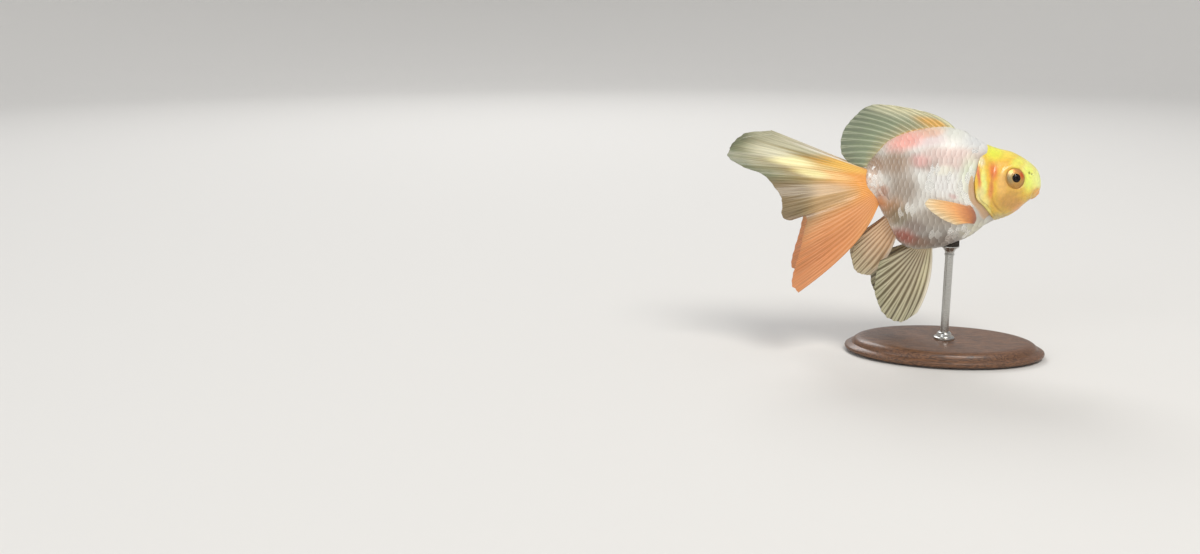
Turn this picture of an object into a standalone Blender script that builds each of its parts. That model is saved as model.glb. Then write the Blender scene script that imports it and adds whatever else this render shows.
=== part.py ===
"""A fancy goldfish at life size, held level by a plain display stand.

The fish faces -Y with its back up, so its right flank is on the -X side. Sizes and places are
in millimetres in the fish's own terms: x out from the middle plane, y back from the middle of
the body, z up from its long axis. The world's z = 0 is the underside of the stand.
"""

import math
from collections import namedtuple

import bmesh
import bpy
import numpy as np
from mathutils import Matrix, Vector

MM = 0.001                    # one millimetre in metres
AXIS_HEIGHT = 105.0           # the fish's long axis above the stand's underside
GAP = 0.3                     # clearance between two touching pieces
RIGHT, LEFT = -1, 1           # sides of the fish along X
SHARP_ANGLE = 35.0            # edges sharper than this, in degrees, are shown sharp

# ---- the body's form: where the back, the belly and the flanks run -------------------------
Station = namedtuple("Station", "y back belly half_width widest")
BODY_STATIONS = (
    Station(-48.2, 8.0, -10.2, 7.0, -2.8),      # snout
    Station(-44.0, 8.9, -10.2, 9.0, -2.8),
    Station(-40.5, 11.2, -12.4, 11.4, -2.8),    # chin
    Station(-35.5, 14.3, -17.2, 13.8, -3.0),
    Station(-30.0, 16.8, -20.9, 15.8, -3.2),    # eyes
    Station(-24.5, 18.0, -22.9, 17.6, -3.6),
    Station(-17.5, 20.3, -26.8, 19.4, -4.6),    # nape and throat
    Station(-12.0, 23.2, -32.0, 20.8, -5.6),
    Station(-4.0, 28.1, -36.3, 22.4, -7.0),     # shoulder
    Station(8.0, 30.5, -40.8, 23.2, -8.4),      # deepest and widest
    Station(20.0, 28.8, -42.5, 21.6, -8.6),
    Station(30.0, 26.0, -37.6, 17.4, -7.0),     # vent
    Station(38.0, 22.0, -24.0, 11.6, -3.5),
    Station(44.0, 15.6, -14.6, 7.4, -1.0),
    Station(51.5, 6.0, -9.0, 4.4, -1.0),        # end of the tail stem
)
SNOUT_Y = BODY_STATIONS[0].y
STEM_END_Y = BODY_STATIONS[-1].y
SNOUT_ROUNDING = 6.0          # length over which the snout closes
STEM_ROUNDING = 2.6           # length over which the tail stem closes
BACK_FULLNESS = 1.12          # above 1 the back is narrower than an ellipse
BELLY_FULLNESS = 0.92         # below 1 the belly is fuller than an ellipse
SIDES_ROUND = 32              # facets round the body

# The edge of the head, from the nape over the gill opening to the throat: (turn, y), where
# the turn is in degrees from the back down to the belly.
GILL_LINE = ((0, -17.3), (30, -16.2), (48, -11.2), (62, -9.6), (76, -8.5), (92, -9.8),
             (108, -15.0), (125, -18.6), (140, -20.8), (160, -23.2), (180, -24.6))
GILL_RING = -12.0             # nominal place of the ring that follows the gill line
GILL_PULL_AHEAD = 30.0        # how far ahead of it the rings still bend
GILL_PULL_BEHIND = 34.0       # how far behind it the rings still bend
STEM_RING = 40.0              # nominal place of the cut between trunk and tail stem

HEAD_RINGS = 13
TRUNK_RINGS = 19
STEM_RINGS = 5
SNOUT_RINGS = 5               # rings over the rounded snout
STEM_END_RINGS = 3            # rings over the rounded end of the tail stem

# ---- gill covers ---------------------------------------------------------------------------
COVER_TURN = 85.0             # middle of the cover, degrees from the back
COVER_SPAN = 42.0             # half its height, in degrees
COVER_LENGTH = 11.0
COVER_DEPTH = 1.6
COVER_LIFT = 0.6              # how far its free rear edge stands off the shoulder
COVER_REAR_GAP = 0.7          # between its rear edge and the shoulder's coarser facets
COVER_END_SHARE = 0.97        # how near its upper and lower ends come to a point
COVER_TAPER = 0.4             # how fast its length falls towards those ends
COVER_ACROSS, COVER_ALONG = 12, 4       # facets up the cover and along it
RECESS_ALONG = 3              # facets along the recess it sits in
RECESS_REACH = 3.0            # how far the recess is cut past the rear edge and the skin

# ---- eyes and mouth ------------------------------------------------------------------------
EYE_Y, EYE_Z = -31.4, 3.2
EYE_RADIUS = 6.1
EYE_HALF_DEPTH = 4.6
EYE_SINK = 2.0                # centre of the eyeball below the skin
EYE_SIDES, EYE_RINGS = 16, 9
MOUTH_Y, MOUTH_Z = -46.6, -7.8
MOUTH_HALF_SIZE = (3.9, 3.6, 0.75)
MOUTH_SLOPE = 24.0            # the gape runs down towards the corner, degrees
MOUTH_SIDES, MOUTH_RINGS = 16, 8

# ---- fins ----------------------------------------------------------------------------------
# A fin is a fan of rays. Each ray leaves the root, bends towards its bend point and ends on
# the edge. The three lists run from the first ray of the fin to the last, on the left side.
Fin = namedtuple("Fin", "root bend edge across along")
FIN_ROOT_THICKNESS = 1.3
FIN_EDGE_THICKNESS = 0.55
RAY_STEP = 1e-3               # share of a fin over which its slope is measured

DORSAL = Fin(
    root=((0, 0.5, 28.0), (0, 14.0, 28.3), (0, 27.5, 25.2), (0, 39.4, 18.8), (0, 50.0, 5.6)),
    bend=((0, 5.6, 35.4), (0.4, 25.0, 38.0), (1.0, 41.0, 34.0), (1.0, 52.0, 21.8),
          (0.3, 54.2, 6.0)),
    edge=((0, 20.0, 38.9), (0.4, 35.0, 41.6), (1.2, 49.5, 42.0), (2.2, 58.4, 35.4),
          (2.8, 64.6, 26.3), (2.2, 65.4, 14.4), (1.0, 58.8, 6.2)),
    across=18, along=6)

PECTORAL = Fin(
    root=((20.3, -8.0, -13.4), (19.4, -8.8, -17.8), (17.0, -10.4, -22.8)),
    bend=((25.2, 4.0, -8.8), (26.0, 4.0, -13.6), (21.8, -3.6, -21.6)),
    edge=((27.2, 17.4, -7.6), (28.8, 19.2, -11.0), (29.2, 13.6, -16.0), (27.4, 6.6, -20.2),
          (23.8, 0.6, -23.0)),
    across=10, along=5)

PELVIC = Fin(
    root=((6.6, 11.2, -37.6), (6.8, 16.2, -38.6), (6.4, 21.2, -38.6)),
    bend=((10.0, 8.4, -61.0), (12.0, 25.0, -58.0), (9.0, 31.0, -43.0)),
    edge=((15.6, 18.8, -77.6), (17.4, 28.6, -82.8), (18.2, 38.8, -76.6), (17.0, 43.6, -62.6),
          (12.6, 41.0, -47.0)),
    across=12, along=6)

ANAL = Fin(
    root=((3.4, 31.4, -34.0), (3.4, 35.0, -27.6), (3.2, 37.8, -22.6)),
    bend=((5.4, 34.6, -49.0), (6.0, 45.0, -39.0), (4.6, 45.6, -29.6)),
    edge=((6.6, 46.0, -57.4), (8.2, 53.6, -55.4), (8.8, 57.0, -46.6), (6.4, 54.0, -35.6)),
    across=8, along=5)

# One half of the double tail, from its upper edge over the fork to its lower edge.
TAIL = Fin(
    root=((1.5, 49.4, 4.2), (1.9, 48.2, -0.8), (2.5, 46.6, -5.2), (3.0, 44.4, -9.8),
          (3.2, 42.6, -14.0)),
    bend=((4.4, 70.0, 12.8), (8.4, 82.0, 5.6), (12.6, 66.0, -8.4), (14.6, 59.2, -21.6),
          (15.0, 47.4, -36.8)),
    edge=((12.0, 111.0, 27.2), (13.6, 123.4, 22.6), (15.4, 131.2, 13.4), (17.0, 122.8, 6.2),
          (18.6, 108.6, 2.0), (20.2, 99.6, -9.4), (21.4, 98.0, -21.6), (22.0, 84.8, -20.4),
          (23.4, 86.0, -30.0), (25.4, 88.8, -42.6), (27.2, 91.6, -57.0), (28.0, 92.4, -68.2)),
    across=28, along=6)
TAIL_FORK = 7 / 11            # share of the rays that belong to the upper lobe
TAIL_CUT = 0.008              # share left out on each side of the cut between the lobes

# ---- display stand -------------------------------------------------------------------------
BASE_HALF_LENGTH, BASE_HALF_WIDTH, BASE_THICKNESS = 58.0, 36.0, 9.0
BASE_BEVEL = 1.6
BASE_SIDES = 44
ROD_RADIUS = 2.4
ROD_PAD_RADIUS = 5.4          # the rod flares under the belly
ROD_PAD_HEIGHT = 5.0
ROD_PAD_LIP = 1.6             # height over which the flare ends
ROD_PAD_SHOULDER = 0.6        # radius at that height, as a share of both radii together
ROD_PAD_REACH = 4.0           # how far the pad runs on before the belly trims it
ROD_SIDES = 16
COLLAR_RADIUS, COLLAR_HEIGHT = 6.0, 4.0
COLLAR_BEVEL = 0.8

# ---- finishes: base colour, roughness, metallic --------------------------------------------
Finish = namedtuple("Finish", "name colour roughness metallic")
YELLOW_SKIN = Finish("yellow_head_skin", (0.92, 0.66, 0.08), 0.4, 0.0)
PALE_SCALES = Finish("pearl_white_scales", (0.82, 0.78, 0.76), 0.35, 0.0)
PEACH_SCALES = Finish("peach_tail_stem", (0.86, 0.62, 0.40), 0.35, 0.0)
GILL_GOLD = Finish("gill_cover_gold", (0.93, 0.60, 0.14), 0.35, 0.0)
EYE_AMBER = Finish("eye_amber", (0.30, 0.14, 0.05), 0.1, 0.0)
PALE_FIN = Finish("pale_dorsal_fin", (0.80, 0.78, 0.68), 0.45, 0.0)
ORANGE_FIN = Finish("orange_pectoral_fin", (0.90, 0.48, 0.16), 0.45, 0.0)
CREAM_FIN = Finish("cream_belly_fins", (0.86, 0.80, 0.66), 0.45, 0.0)
PEACH_FIN = Finish("peach_tail_fin", (0.93, 0.66, 0.38), 0.45, 0.0)
DARK_WOOD = Finish("walnut_base", (0.13, 0.07, 0.04), 0.45, 0.0)
STEEL = Finish("brushed_steel_rod", (0.62, 0.62, 0.62), 0.3, 1.0)


# ---- curves --------------------------------------------------------------------------------
def smooth_between(keys, values, at):
    """Read a curve that passes through every (key, value) pair without overshoot."""
    keys, values = np.asarray(keys, float), np.asarray(values, float)
    steps = np.diff(keys)
    slopes = np.diff(values) / steps
    tangents = np.empty_like(values)
    tangents[0], tangents[-1] = slopes[0], slopes[-1]
    product = slopes[:-1] * slopes[1:]
    total = np.where(product > 0, slopes[:-1] + slopes[1:], 1.0)
    tangents[1:-1] = np.where(product > 0, 2.0 * product / total, 0.0)
    at = np.clip(at, keys[0], keys[-1])
    span = np.clip(np.searchsorted(keys, at, side="right") - 1, 0, len(steps) - 1)
    t = (at - keys[span]) / steps[span]
    rise = (1 - t) ** 2 * (1 + 2 * t) * values[span] + t * t * (3 - 2 * t) * values[span + 1]
    lean = t * (1 - t) ** 2 * tangents[span] - t * t * (1 - t) * tangents[span + 1]
    return rise + lean * steps[span]


def curve_through(points, share):
    """Point at a share, 0 to 1, of a smooth curve through evenly spaced points."""
    points = np.asarray(points, float)
    before_first = 2 * points[0] - points[1]
    after_last = 2 * points[-1] - points[-2]
    padded = np.vstack([before_first, points, after_last])
    place = share * (len(points) - 1)
    span = min(int(place), len(points) - 2)
    t = place - span
    p0, p1, p2, p3 = padded[span:span + 4]
    return 0.5 * (2 * p1 + (p2 - p0) * t + (2 * p0 - 5 * p1 + 4 * p2 - p3) * t ** 2
                  + (3 * p1 - p0 - 3 * p2 + p3) * t ** 3)


# ---- the body's surface --------------------------------------------------------------------
def station_value(field, y):
    """Value of one field of the stations at y."""
    return smooth_between([s.y for s in BODY_STATIONS],
                          [getattr(s, field) for s in BODY_STATIONS], y)


def end_rounding(y, grow):
    """Share of the full section at y: it falls to nothing at the snout and the stem's end."""
    from_snout = max(y - (SNOUT_Y - grow), 0.0)
    from_end = max(STEM_END_Y + grow - y, 0.0)
    share = 1.0
    for distance, length in ((from_snout, SNOUT_ROUNDING), (from_end, STEM_ROUNDING)):
        if distance < length:
            share *= math.sqrt(1 - (1 - distance / length) ** 2)
    return share


def body_point(y, turn, grow=0.0):
    """Point of the body at y, turned (radians) from the back down the left flank."""
    scale = end_rounding(y, grow)
    widest = station_value("widest", y)
    upper = math.cos(turn) >= 0
    reach = (station_value("back", y) + grow - widest if upper
             else widest - station_value("belly", y) + grow)
    fullness = BACK_FULLNESS if upper else BELLY_FULLNESS
    sine = math.sin(turn)
    out = math.copysign(abs(sine) ** fullness, sine)
    width = station_value("half_width", y) + grow
    return np.array((width * out * scale, y, widest + reach * math.cos(turn) * scale))


def flank_x(y, z):
    """How far out the left flank lies at a height."""
    widest = station_value("widest", y)
    upper = z >= widest
    reach = station_value("back", y) - widest if upper else widest - station_value("belly", y)
    cosine = min(abs(z - widest) / reach, 1.0)
    fullness = BACK_FULLNESS if upper else BELLY_FULLNESS
    return station_value("half_width", y) * (1 - cosine ** 2) ** (0.5 * fullness)


def flank_normal(y, z, step=0.5):
    """Outward direction of the left flank at a place."""
    along_y = (flank_x(y + step, z) - flank_x(y - step, z)) / (2 * step)
    along_z = (flank_x(y, z + step) - flank_x(y, z - step)) / (2 * step)
    return Vector((1.0, -along_y, -along_z)).normalized()


def gill_line_y(turn):
    """Where the gill line crosses a turn (radians) of either flank."""
    degrees = abs(math.degrees(math.remainder(turn, 2 * math.pi)))
    turns, places = zip(*GILL_LINE)
    return float(smooth_between(turns, places, degrees))


def ring_y(nominal, turn):
    """Place of a ring at a turn: rings near the gill line bend to follow it."""
    reach = GILL_PULL_AHEAD if nominal < GILL_RING else GILL_PULL_BEHIND
    pull = max(0.0, 1 - abs(nominal - GILL_RING) / reach)
    return nominal + pull * (gill_line_y(turn) - GILL_RING)


def ring_points(nominal, grow=0.0):
    """One ring of body points, from the back round the left flank."""
    turns = [2 * math.pi * i / SIDES_ROUND for i in range(SIDES_ROUND)]
    return [body_point(ring_y(nominal, turn), turn, grow) for turn in turns]


def spaced(start, end, count):
    """Evenly spaced places, both ends included."""
    return [start + (end - start) * i / (count - 1) for i in range(count)]


def rounding_places(tip, length, count):
    """Ring places over a rounded end, from next to the tip to the full section."""
    angles = [0.5 * math.pi * i / count for i in range(1, count + 1)]
    return [tip + length * (1 - math.cos(angle)) for angle in angles]


def snout_places(grow):
    """Ring places over the snout."""
    return rounding_places(SNOUT_Y - grow, SNOUT_ROUNDING, SNOUT_RINGS)


def stem_end_places(grow):
    """Ring places over the end of the tail stem."""
    return rounding_places(STEM_END_Y + grow, -STEM_ROUNDING, STEM_END_RINGS)[::-1]


# ---- objects -------------------------------------------------------------------------------
def material(finish):
    """Principled material of one finish."""
    made = bpy.data.materials.new(finish.name)
    made.use_nodes = True
    shader = made.node_tree.nodes["Principled BSDF"]
    shader.inputs["Base Color"].default_value = (*finish.colour, 1.0)
    shader.inputs["Roughness"].default_value = finish.roughness
    shader.inputs["Metallic"].default_value = finish.metallic
    return made


def to_world(point):
    """A place in the fish's millimetres, in world metres."""
    return Vector((point[0] * MM, point[1] * MM, (point[2] + AXIS_HEIGHT) * MM))


def link_mesh(name, mesh, finish):
    """Smooth-shaded object in the scene; a helper shape has no finish."""
    mesh.shade_smooth()
    mesh.set_sharp_from_angle(angle=math.radians(SHARP_ANGLE))
    if finish is not None:
        mesh.materials.append(finish)
    made = bpy.data.objects.new(name, mesh)
    bpy.context.collection.objects.link(made)
    return made


def add_object(name, points, faces, finish):
    """Object from points in the fish's millimetres, with outward faces."""
    mesh = bpy.data.meshes.new(name)
    mesh.from_pydata([to_world(p) for p in points], [], faces)
    shape = bmesh.new()
    shape.from_mesh(mesh)
    bmesh.ops.recalc_face_normals(shape, faces=shape.faces)
    shape.to_mesh(mesh)
    shape.free()
    return link_mesh(name, mesh, finish)


def add_ball(name, centre, turn, half_size, sides, rings, finish):
    """Ball squashed to three half sizes, then turned and put at a centre."""
    mesh = bpy.data.meshes.new(name)
    shape = bmesh.new()
    bmesh.ops.create_uvsphere(shape, u_segments=sides, v_segments=rings, radius=1.0)
    place = Matrix.Translation(Vector(centre) + Vector((0, 0, AXIS_HEIGHT)))
    shape.transform(Matrix.Scale(MM, 4) @ place @ turn @ Matrix.Diagonal((*half_size, 1.0)))
    shape.to_mesh(mesh)
    shape.free()
    return link_mesh(name, mesh, finish)


def as_cutter(cutter):
    """Keep a helper shape out of the model."""
    cutter.hide_render = True
    cutter.display_type = "WIRE"
    return cutter


def cut_away(target, cutter):
    """Take a cutter's space out of an object."""
    cut = target.modifiers.new("cut_" + cutter.name, "BOOLEAN")
    cut.operation = "DIFFERENCE"
    cut.solver = "EXACT"
    cut.object = cutter


def loft(name, rings, first_tip, last_tip, finish):
    """Closed body through rings; an end without a tip is closed straight across."""
    points, faces = [], []
    count = len(rings[0])
    for ring in rings:
        points.extend(ring)
    for row in range(len(rings) - 1):
        for i in range(count):
            j = (i + 1) % count
            a, b = row * count, (row + 1) * count
            faces.append((a + i, a + j, b + j, b + i))
    for tip, start in ((first_tip, 0), (last_tip, (len(rings) - 1) * count)):
        if tip is None:
            faces.append((start, start + 1, start + count - 1))
            half = count // 2
            for i in range(1, half - 1):
                faces.append((start + i, start + i + 1, start + count - i - 1,
                              start + count - i))
            faces.append((start + half - 1, start + half, start + half + 1))
        else:
            points.append(tip)
            for i in range(count):
                faces.append((start + i, start + (i + 1) % count, len(points) - 1))
    return add_object(name, points, faces, finish)


def snout_tip(grow=0.0):
    """Foremost point of the body."""
    return body_point(SNOUT_Y - grow, 0.0, grow)


def stem_tip(grow=0.0):
    """Rearmost point of the tail stem."""
    return body_point(STEM_END_Y + grow, 0.0, grow)


def make_grown_body():
    """The whole body grown by the gap: it trims whatever touches the fish."""
    places = snout_places(GAP)
    places += spaced(places[-1], GILL_RING, HEAD_RINGS)[1:]
    places += spaced(GILL_RING, STEM_RING, TRUNK_RINGS)[1:]
    end = stem_end_places(GAP)
    places += spaced(STEM_RING, end[0], STEM_RINGS)[1:] + end[1:]
    rings = [ring_points(place, GAP) for place in places]
    return as_cutter(loft("grown_body", rings, snout_tip(GAP), stem_tip(GAP), None))


def make_head(finish):
    """Head with a rounded snout, closed at the gill line."""
    places = snout_places(0.0)
    places += spaced(places[-1], GILL_RING - 0.5 * GAP, HEAD_RINGS)[1:]
    return loft("head", [ring_points(place) for place in places], snout_tip(), None, finish)


def make_trunk(finish):
    """Trunk from the gill line to the tail stem."""
    places = spaced(GILL_RING + 0.5 * GAP, STEM_RING - 0.5 * GAP, TRUNK_RINGS)
    return loft("trunk", [ring_points(place) for place in places], None, None, finish)


def make_tail_stem(finish):
    """Tail stem with its rounded end."""
    end = stem_end_places(0.0)
    places = spaced(STEM_RING + 0.5 * GAP, end[0], STEM_RINGS) + end[1:]
    return loft("tail_stem", [ring_points(place) for place in places], None, stem_tip(), finish)


def slab(name, side, shape_point, low, high, across, along, finish):
    """Closed curved plate between two offsets of the flank."""
    points, faces = [], []
    columns, rows = across + 1, along + 1
    for offset in (low, high):
        for i in range(columns):
            for j in range(rows):
                x, y, z = shape_point(i / across, j / along, offset)
                points.append((side * x, y, z))
    layer = columns * rows
    for i in range(across):
        for j in range(along):
            a = i * rows + j
            quad = (a, a + 1, a + rows + 1, a + rows)
            faces.append(quad)
            faces.append(tuple(v + layer for v in quad))
    border = [i * rows for i in range(across)] + [across * rows + j for j in range(along)]
    border += [i * rows + along for i in range(across, 0, -1)] + list(range(along, 0, -1))
    for a, b in zip(border, border[1:] + border[:1]):
        faces.append((a, b, b + layer, a + layer))
    return add_object(name, points, faces, finish)


def cover_point(share_up, share_ahead, offset, margin=0.0, rear_margin=0.0, lift=0.0):
    """Point of the gill cover: up its rear edge, then ahead towards the cheek."""
    swing = COVER_END_SHARE * (2 * share_up - 1)
    turn = math.radians(COVER_TURN + (COVER_SPAN + 2 * margin) * swing)
    rear = gill_line_y(turn) - COVER_REAR_GAP + rear_margin
    length = COVER_LENGTH * (1 - swing ** 2) ** COVER_TAPER + margin + rear_margin
    y = rear - length * share_ahead
    return body_point(y, turn, offset + lift * (1 - share_ahead) ** 2)


def make_gill_cover(side_name, side, head, finish):
    """Gill cover set into the head, its rear edge a little proud of the shoulder."""
    inner, outer = -COVER_DEPTH, 0.0

    def plate(up, ahead, offset):
        return cover_point(up, ahead, offset, lift=COVER_LIFT if offset == outer else 0.0)

    def recess(up, ahead, offset):
        return cover_point(up, ahead, offset, margin=GAP, rear_margin=RECESS_REACH)

    cutter = slab("cover_recess_" + side_name, side, recess, inner - GAP, RECESS_REACH,
                  COVER_ACROSS, RECESS_ALONG, None)
    cut_away(head, as_cutter(cutter))
    slab("gill_cover_" + side_name, side, plate, inner, outer, COVER_ACROSS, COVER_ALONG, finish)


def eyeball(name, side, grow, finish):
    """Flattened ball that looks out square to the cheek."""
    normal = flank_normal(EYE_Y, EYE_Z)
    centre = Vector((flank_x(EYE_Y, EYE_Z), EYE_Y, EYE_Z)) - EYE_SINK * normal
    normal.x *= side
    centre.x *= side
    turn = normal.to_track_quat("Z", "Y").to_matrix().to_4x4()
    half_size = (EYE_RADIUS + grow, EYE_RADIUS + grow, EYE_HALF_DEPTH + grow)
    return add_ball(name, centre, turn, half_size, EYE_SIDES, EYE_RINGS, finish)


def make_eye(side_name, side, head, finish):
    """Eye in its socket."""
    cut_away(head, as_cutter(eyeball("socket_" + side_name, side, GAP, None)))
    eyeball("eye_" + side_name, side, 0.0, finish)


def cut_mouth(head):
    """Narrow gape across the front of the head."""
    turn = Matrix.Rotation(math.radians(-MOUTH_SLOPE), 4, "X")
    cutter = add_ball("mouth_opening", (0, MOUTH_Y, MOUTH_Z), turn, MOUTH_HALF_SIZE,
                      MOUTH_SIDES, MOUTH_RINGS, None)
    cut_away(head, as_cutter(cutter))


def ray_point(fin, across, along):
    """Point of a fin's middle surface: across from ray to ray, along from root to edge."""
    root = curve_through(fin.root, across)
    bend = curve_through(fin.bend, across)
    edge = curve_through(fin.edge, across)
    return (1 - along) ** 2 * root + 2 * along * (1 - along) * bend + along ** 2 * edge


def make_fin(name, fin, side, body, finish, first=0.0, last=1.0, across=None):
    """Fin as a thin closed fan, trimmed to the body."""
    across = across or fin.across

    def place(share_across, share_along, half):
        u = first + (last - first) * share_across
        v = share_along
        u_step = RAY_STEP if u < 0.5 else -RAY_STEP
        v_step = RAY_STEP if v < 0.5 else -RAY_STEP
        here = ray_point(fin, u, v)
        over = (ray_point(fin, u + u_step, v) - here) / u_step
        out = (ray_point(fin, u, v + v_step) - here) / v_step
        normal = np.cross(over, out)
        normal /= np.linalg.norm(normal)
        thickness = FIN_ROOT_THICKNESS + (FIN_EDGE_THICKNESS - FIN_ROOT_THICKNESS) * v
        return here + half * thickness * normal

    cut_away(slab(name, side, place, -0.5, 0.5, across, fin.along, finish), body)


def make_tail_half(side_name, side, body, finish):
    """Upper and lower lobe of one half of the double tail."""
    upper_rays = round(TAIL.across * TAIL_FORK)
    make_fin("tail_upper_lobe_" + side_name, TAIL, side, body, finish,
             0.0, TAIL_FORK - TAIL_CUT, upper_rays)
    make_fin("tail_lower_lobe_" + side_name, TAIL, side, body, finish,
             TAIL_FORK + TAIL_CUT, 1.0, TAIL.across - upper_rays)


def turned(name, profile, sides, finish):
    """Solid turned about the vertical through the origin, from (radius, height) pairs."""
    points, faces = [], []
    for radius, height in profile:
        for i in range(sides):
            angle = 2 * math.pi * i / sides
            points.append((radius * math.cos(angle), radius * math.sin(angle),
                           height - AXIS_HEIGHT))
    for row in range(len(profile) - 1):
        for i in range(sides):
            j = (i + 1) % sides
            faces.append((row * sides + i, row * sides + j,
                          (row + 1) * sides + j, (row + 1) * sides + i))
    faces.append(tuple(range(sides)))
    top = (len(profile) - 1) * sides
    faces.append(tuple(top + i for i in range(sides)))
    return add_object(name, points, faces, finish)


def make_stand(body, base_finish, metal_finish):
    """Oval base, a collar on it and one rod that flares under the belly."""
    rim = BASE_HALF_WIDTH
    base = turned("stand_base", ((rim - BASE_BEVEL, 0.0), (rim, BASE_BEVEL),
                                 (rim, BASE_THICKNESS - BASE_BEVEL),
                                 (rim - BASE_BEVEL, BASE_THICKNESS)), BASE_SIDES, base_finish)
    base.data.transform(Matrix.Scale(BASE_HALF_LENGTH / BASE_HALF_WIDTH, 4, Vector((0, 1, 0))))
    foot = BASE_THICKNESS + GAP
    top = foot + COLLAR_HEIGHT
    turned("stand_collar", ((COLLAR_RADIUS, foot), (COLLAR_RADIUS, top - COLLAR_BEVEL),
                            (COLLAR_RADIUS - COLLAR_BEVEL, top)), ROD_SIDES, metal_finish)
    belly = AXIS_HEIGHT + float(station_value("belly", 0.0))
    shoulder = ROD_PAD_SHOULDER * (ROD_RADIUS + ROD_PAD_RADIUS)
    profile = ((ROD_RADIUS, top + GAP), (ROD_RADIUS, belly - ROD_PAD_HEIGHT),
               (shoulder, belly - ROD_PAD_LIP), (ROD_PAD_RADIUS, belly),
               (ROD_PAD_RADIUS, belly + ROD_PAD_REACH))
    cut_away(turned("stand_rod", profile, ROD_SIDES, metal_finish), body)


def clear_scene():
    """Start from nothing."""
    for old in list(bpy.data.objects):
        bpy.data.objects.remove(old, do_unlink=True)


def main():
    clear_scene()
    gill_gold, eye_amber = material(GILL_GOLD), material(EYE_AMBER)
    orange_fin, cream_fin, peach_fin = (material(f) for f in (ORANGE_FIN, CREAM_FIN, PEACH_FIN))

    body = make_grown_body()
    head = make_head(material(YELLOW_SKIN))
    make_trunk(material(PALE_SCALES))
    make_tail_stem(material(PEACH_SCALES))
    for side_name, side in (("right", RIGHT), ("left", LEFT)):
        make_gill_cover(side_name, side, head, gill_gold)
        make_eye(side_name, side, head, eye_amber)
        make_fin("pectoral_fin_" + side_name, PECTORAL, side, body, orange_fin)
        make_fin("pelvic_fin_" + side_name, PELVIC, side, body, cream_fin)
        make_fin("anal_fin_" + side_name, ANAL, side, body, cream_fin)
        make_tail_half(side_name, side, body, peach_fin)
    cut_mouth(head)
    make_fin("dorsal_fin", DORSAL, LEFT, body, material(PALE_FIN))
    make_stand(body, material(DARK_WOOD), material(STEEL))


main()
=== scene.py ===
"""The looks of a fancy goldfish at life size: skin, scales, fins, eyes, stand and studio.

Forms are worked out in millimetres in the fish's own terms: x out from the middle plane, y back
from the middle of the body and z up from its long axis. The fish faces -Y, so its right flank
is on the -X side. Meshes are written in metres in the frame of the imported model.
"""
import logging
import math
from collections.abc import Callable, Sequence
from dataclasses import dataclass
from enum import Enum

import bpy
import numpy as np
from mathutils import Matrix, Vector


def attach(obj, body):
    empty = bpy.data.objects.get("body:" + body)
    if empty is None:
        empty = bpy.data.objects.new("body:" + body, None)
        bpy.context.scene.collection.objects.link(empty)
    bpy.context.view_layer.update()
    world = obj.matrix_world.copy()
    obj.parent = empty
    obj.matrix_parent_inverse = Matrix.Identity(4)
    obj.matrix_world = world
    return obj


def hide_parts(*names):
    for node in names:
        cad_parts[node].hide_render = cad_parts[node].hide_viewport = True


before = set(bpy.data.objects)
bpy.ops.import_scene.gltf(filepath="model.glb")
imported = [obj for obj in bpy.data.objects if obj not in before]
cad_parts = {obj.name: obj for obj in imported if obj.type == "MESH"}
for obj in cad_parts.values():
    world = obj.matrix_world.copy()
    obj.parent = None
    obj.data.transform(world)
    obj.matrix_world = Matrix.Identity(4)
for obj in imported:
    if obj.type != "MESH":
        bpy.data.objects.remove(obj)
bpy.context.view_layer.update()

LOG = logging.getLogger("goldfish")

MM = 0.001  # one millimetre in metres
AXIS_HEIGHT = 105.0  # the fish's long axis above the stand's underside
BODY = "root"  # the one body that everything rides on
SEED = 7  # of the small differences between scales
MIRROR = np.array((-1.0, 1.0, 1.0))  # takes a place on the left side to the right side

Array = np.ndarray
Piece = bpy.types.Object
Socket = bpy.types.NodeSocket
Pair = tuple[float, float]
Triple = tuple[float, float, float]
Wire = Socket | float | tuple  # what a node's socket can be given


class Side(Enum):
    """A side of the fish and its direction along X."""

    RIGHT = -1
    LEFT = 1

    @property
    def word(self) -> str:
        """The side as it stands in the names of nodes and pieces."""
        return self.name.lower()


# ---- curves and soft steps ----
def smooth_between(keys: Sequence[float], values: Sequence[float], at: Array) -> Array:
    """Read a curve that passes through every (key, value) pair without overshoot.

    Args:
        keys: rising places.
        values: the curve's value at each place.
        at: where to read it; past the ends it holds the end value.

    Returns:
        The values at those places.
    """
    keys, values = np.asarray(keys, float), np.asarray(values, float)
    steps = np.diff(keys)
    slopes = np.diff(values) / steps
    tangents = np.empty_like(values)
    tangents[0], tangents[-1] = slopes[0], slopes[-1]
    product = slopes[:-1] * slopes[1:]
    total = np.where(product > 0, slopes[:-1] + slopes[1:], 1.0)
    tangents[1:-1] = np.where(product > 0, 2.0 * product / total, 0.0)
    at = np.clip(at, keys[0], keys[-1])
    span = np.clip(np.searchsorted(keys, at, side="right") - 1, 0, len(steps) - 1)
    t = (at - keys[span]) / steps[span]
    rise = (1 - t) ** 2 * (1 + 2 * t) * values[span] + t * t * (3 - 2 * t) * values[span + 1]
    lean = t * (1 - t) ** 2 * tangents[span] - t * t * (1 - t) * tangents[span + 1]
    return rise + lean * steps[span]


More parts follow.
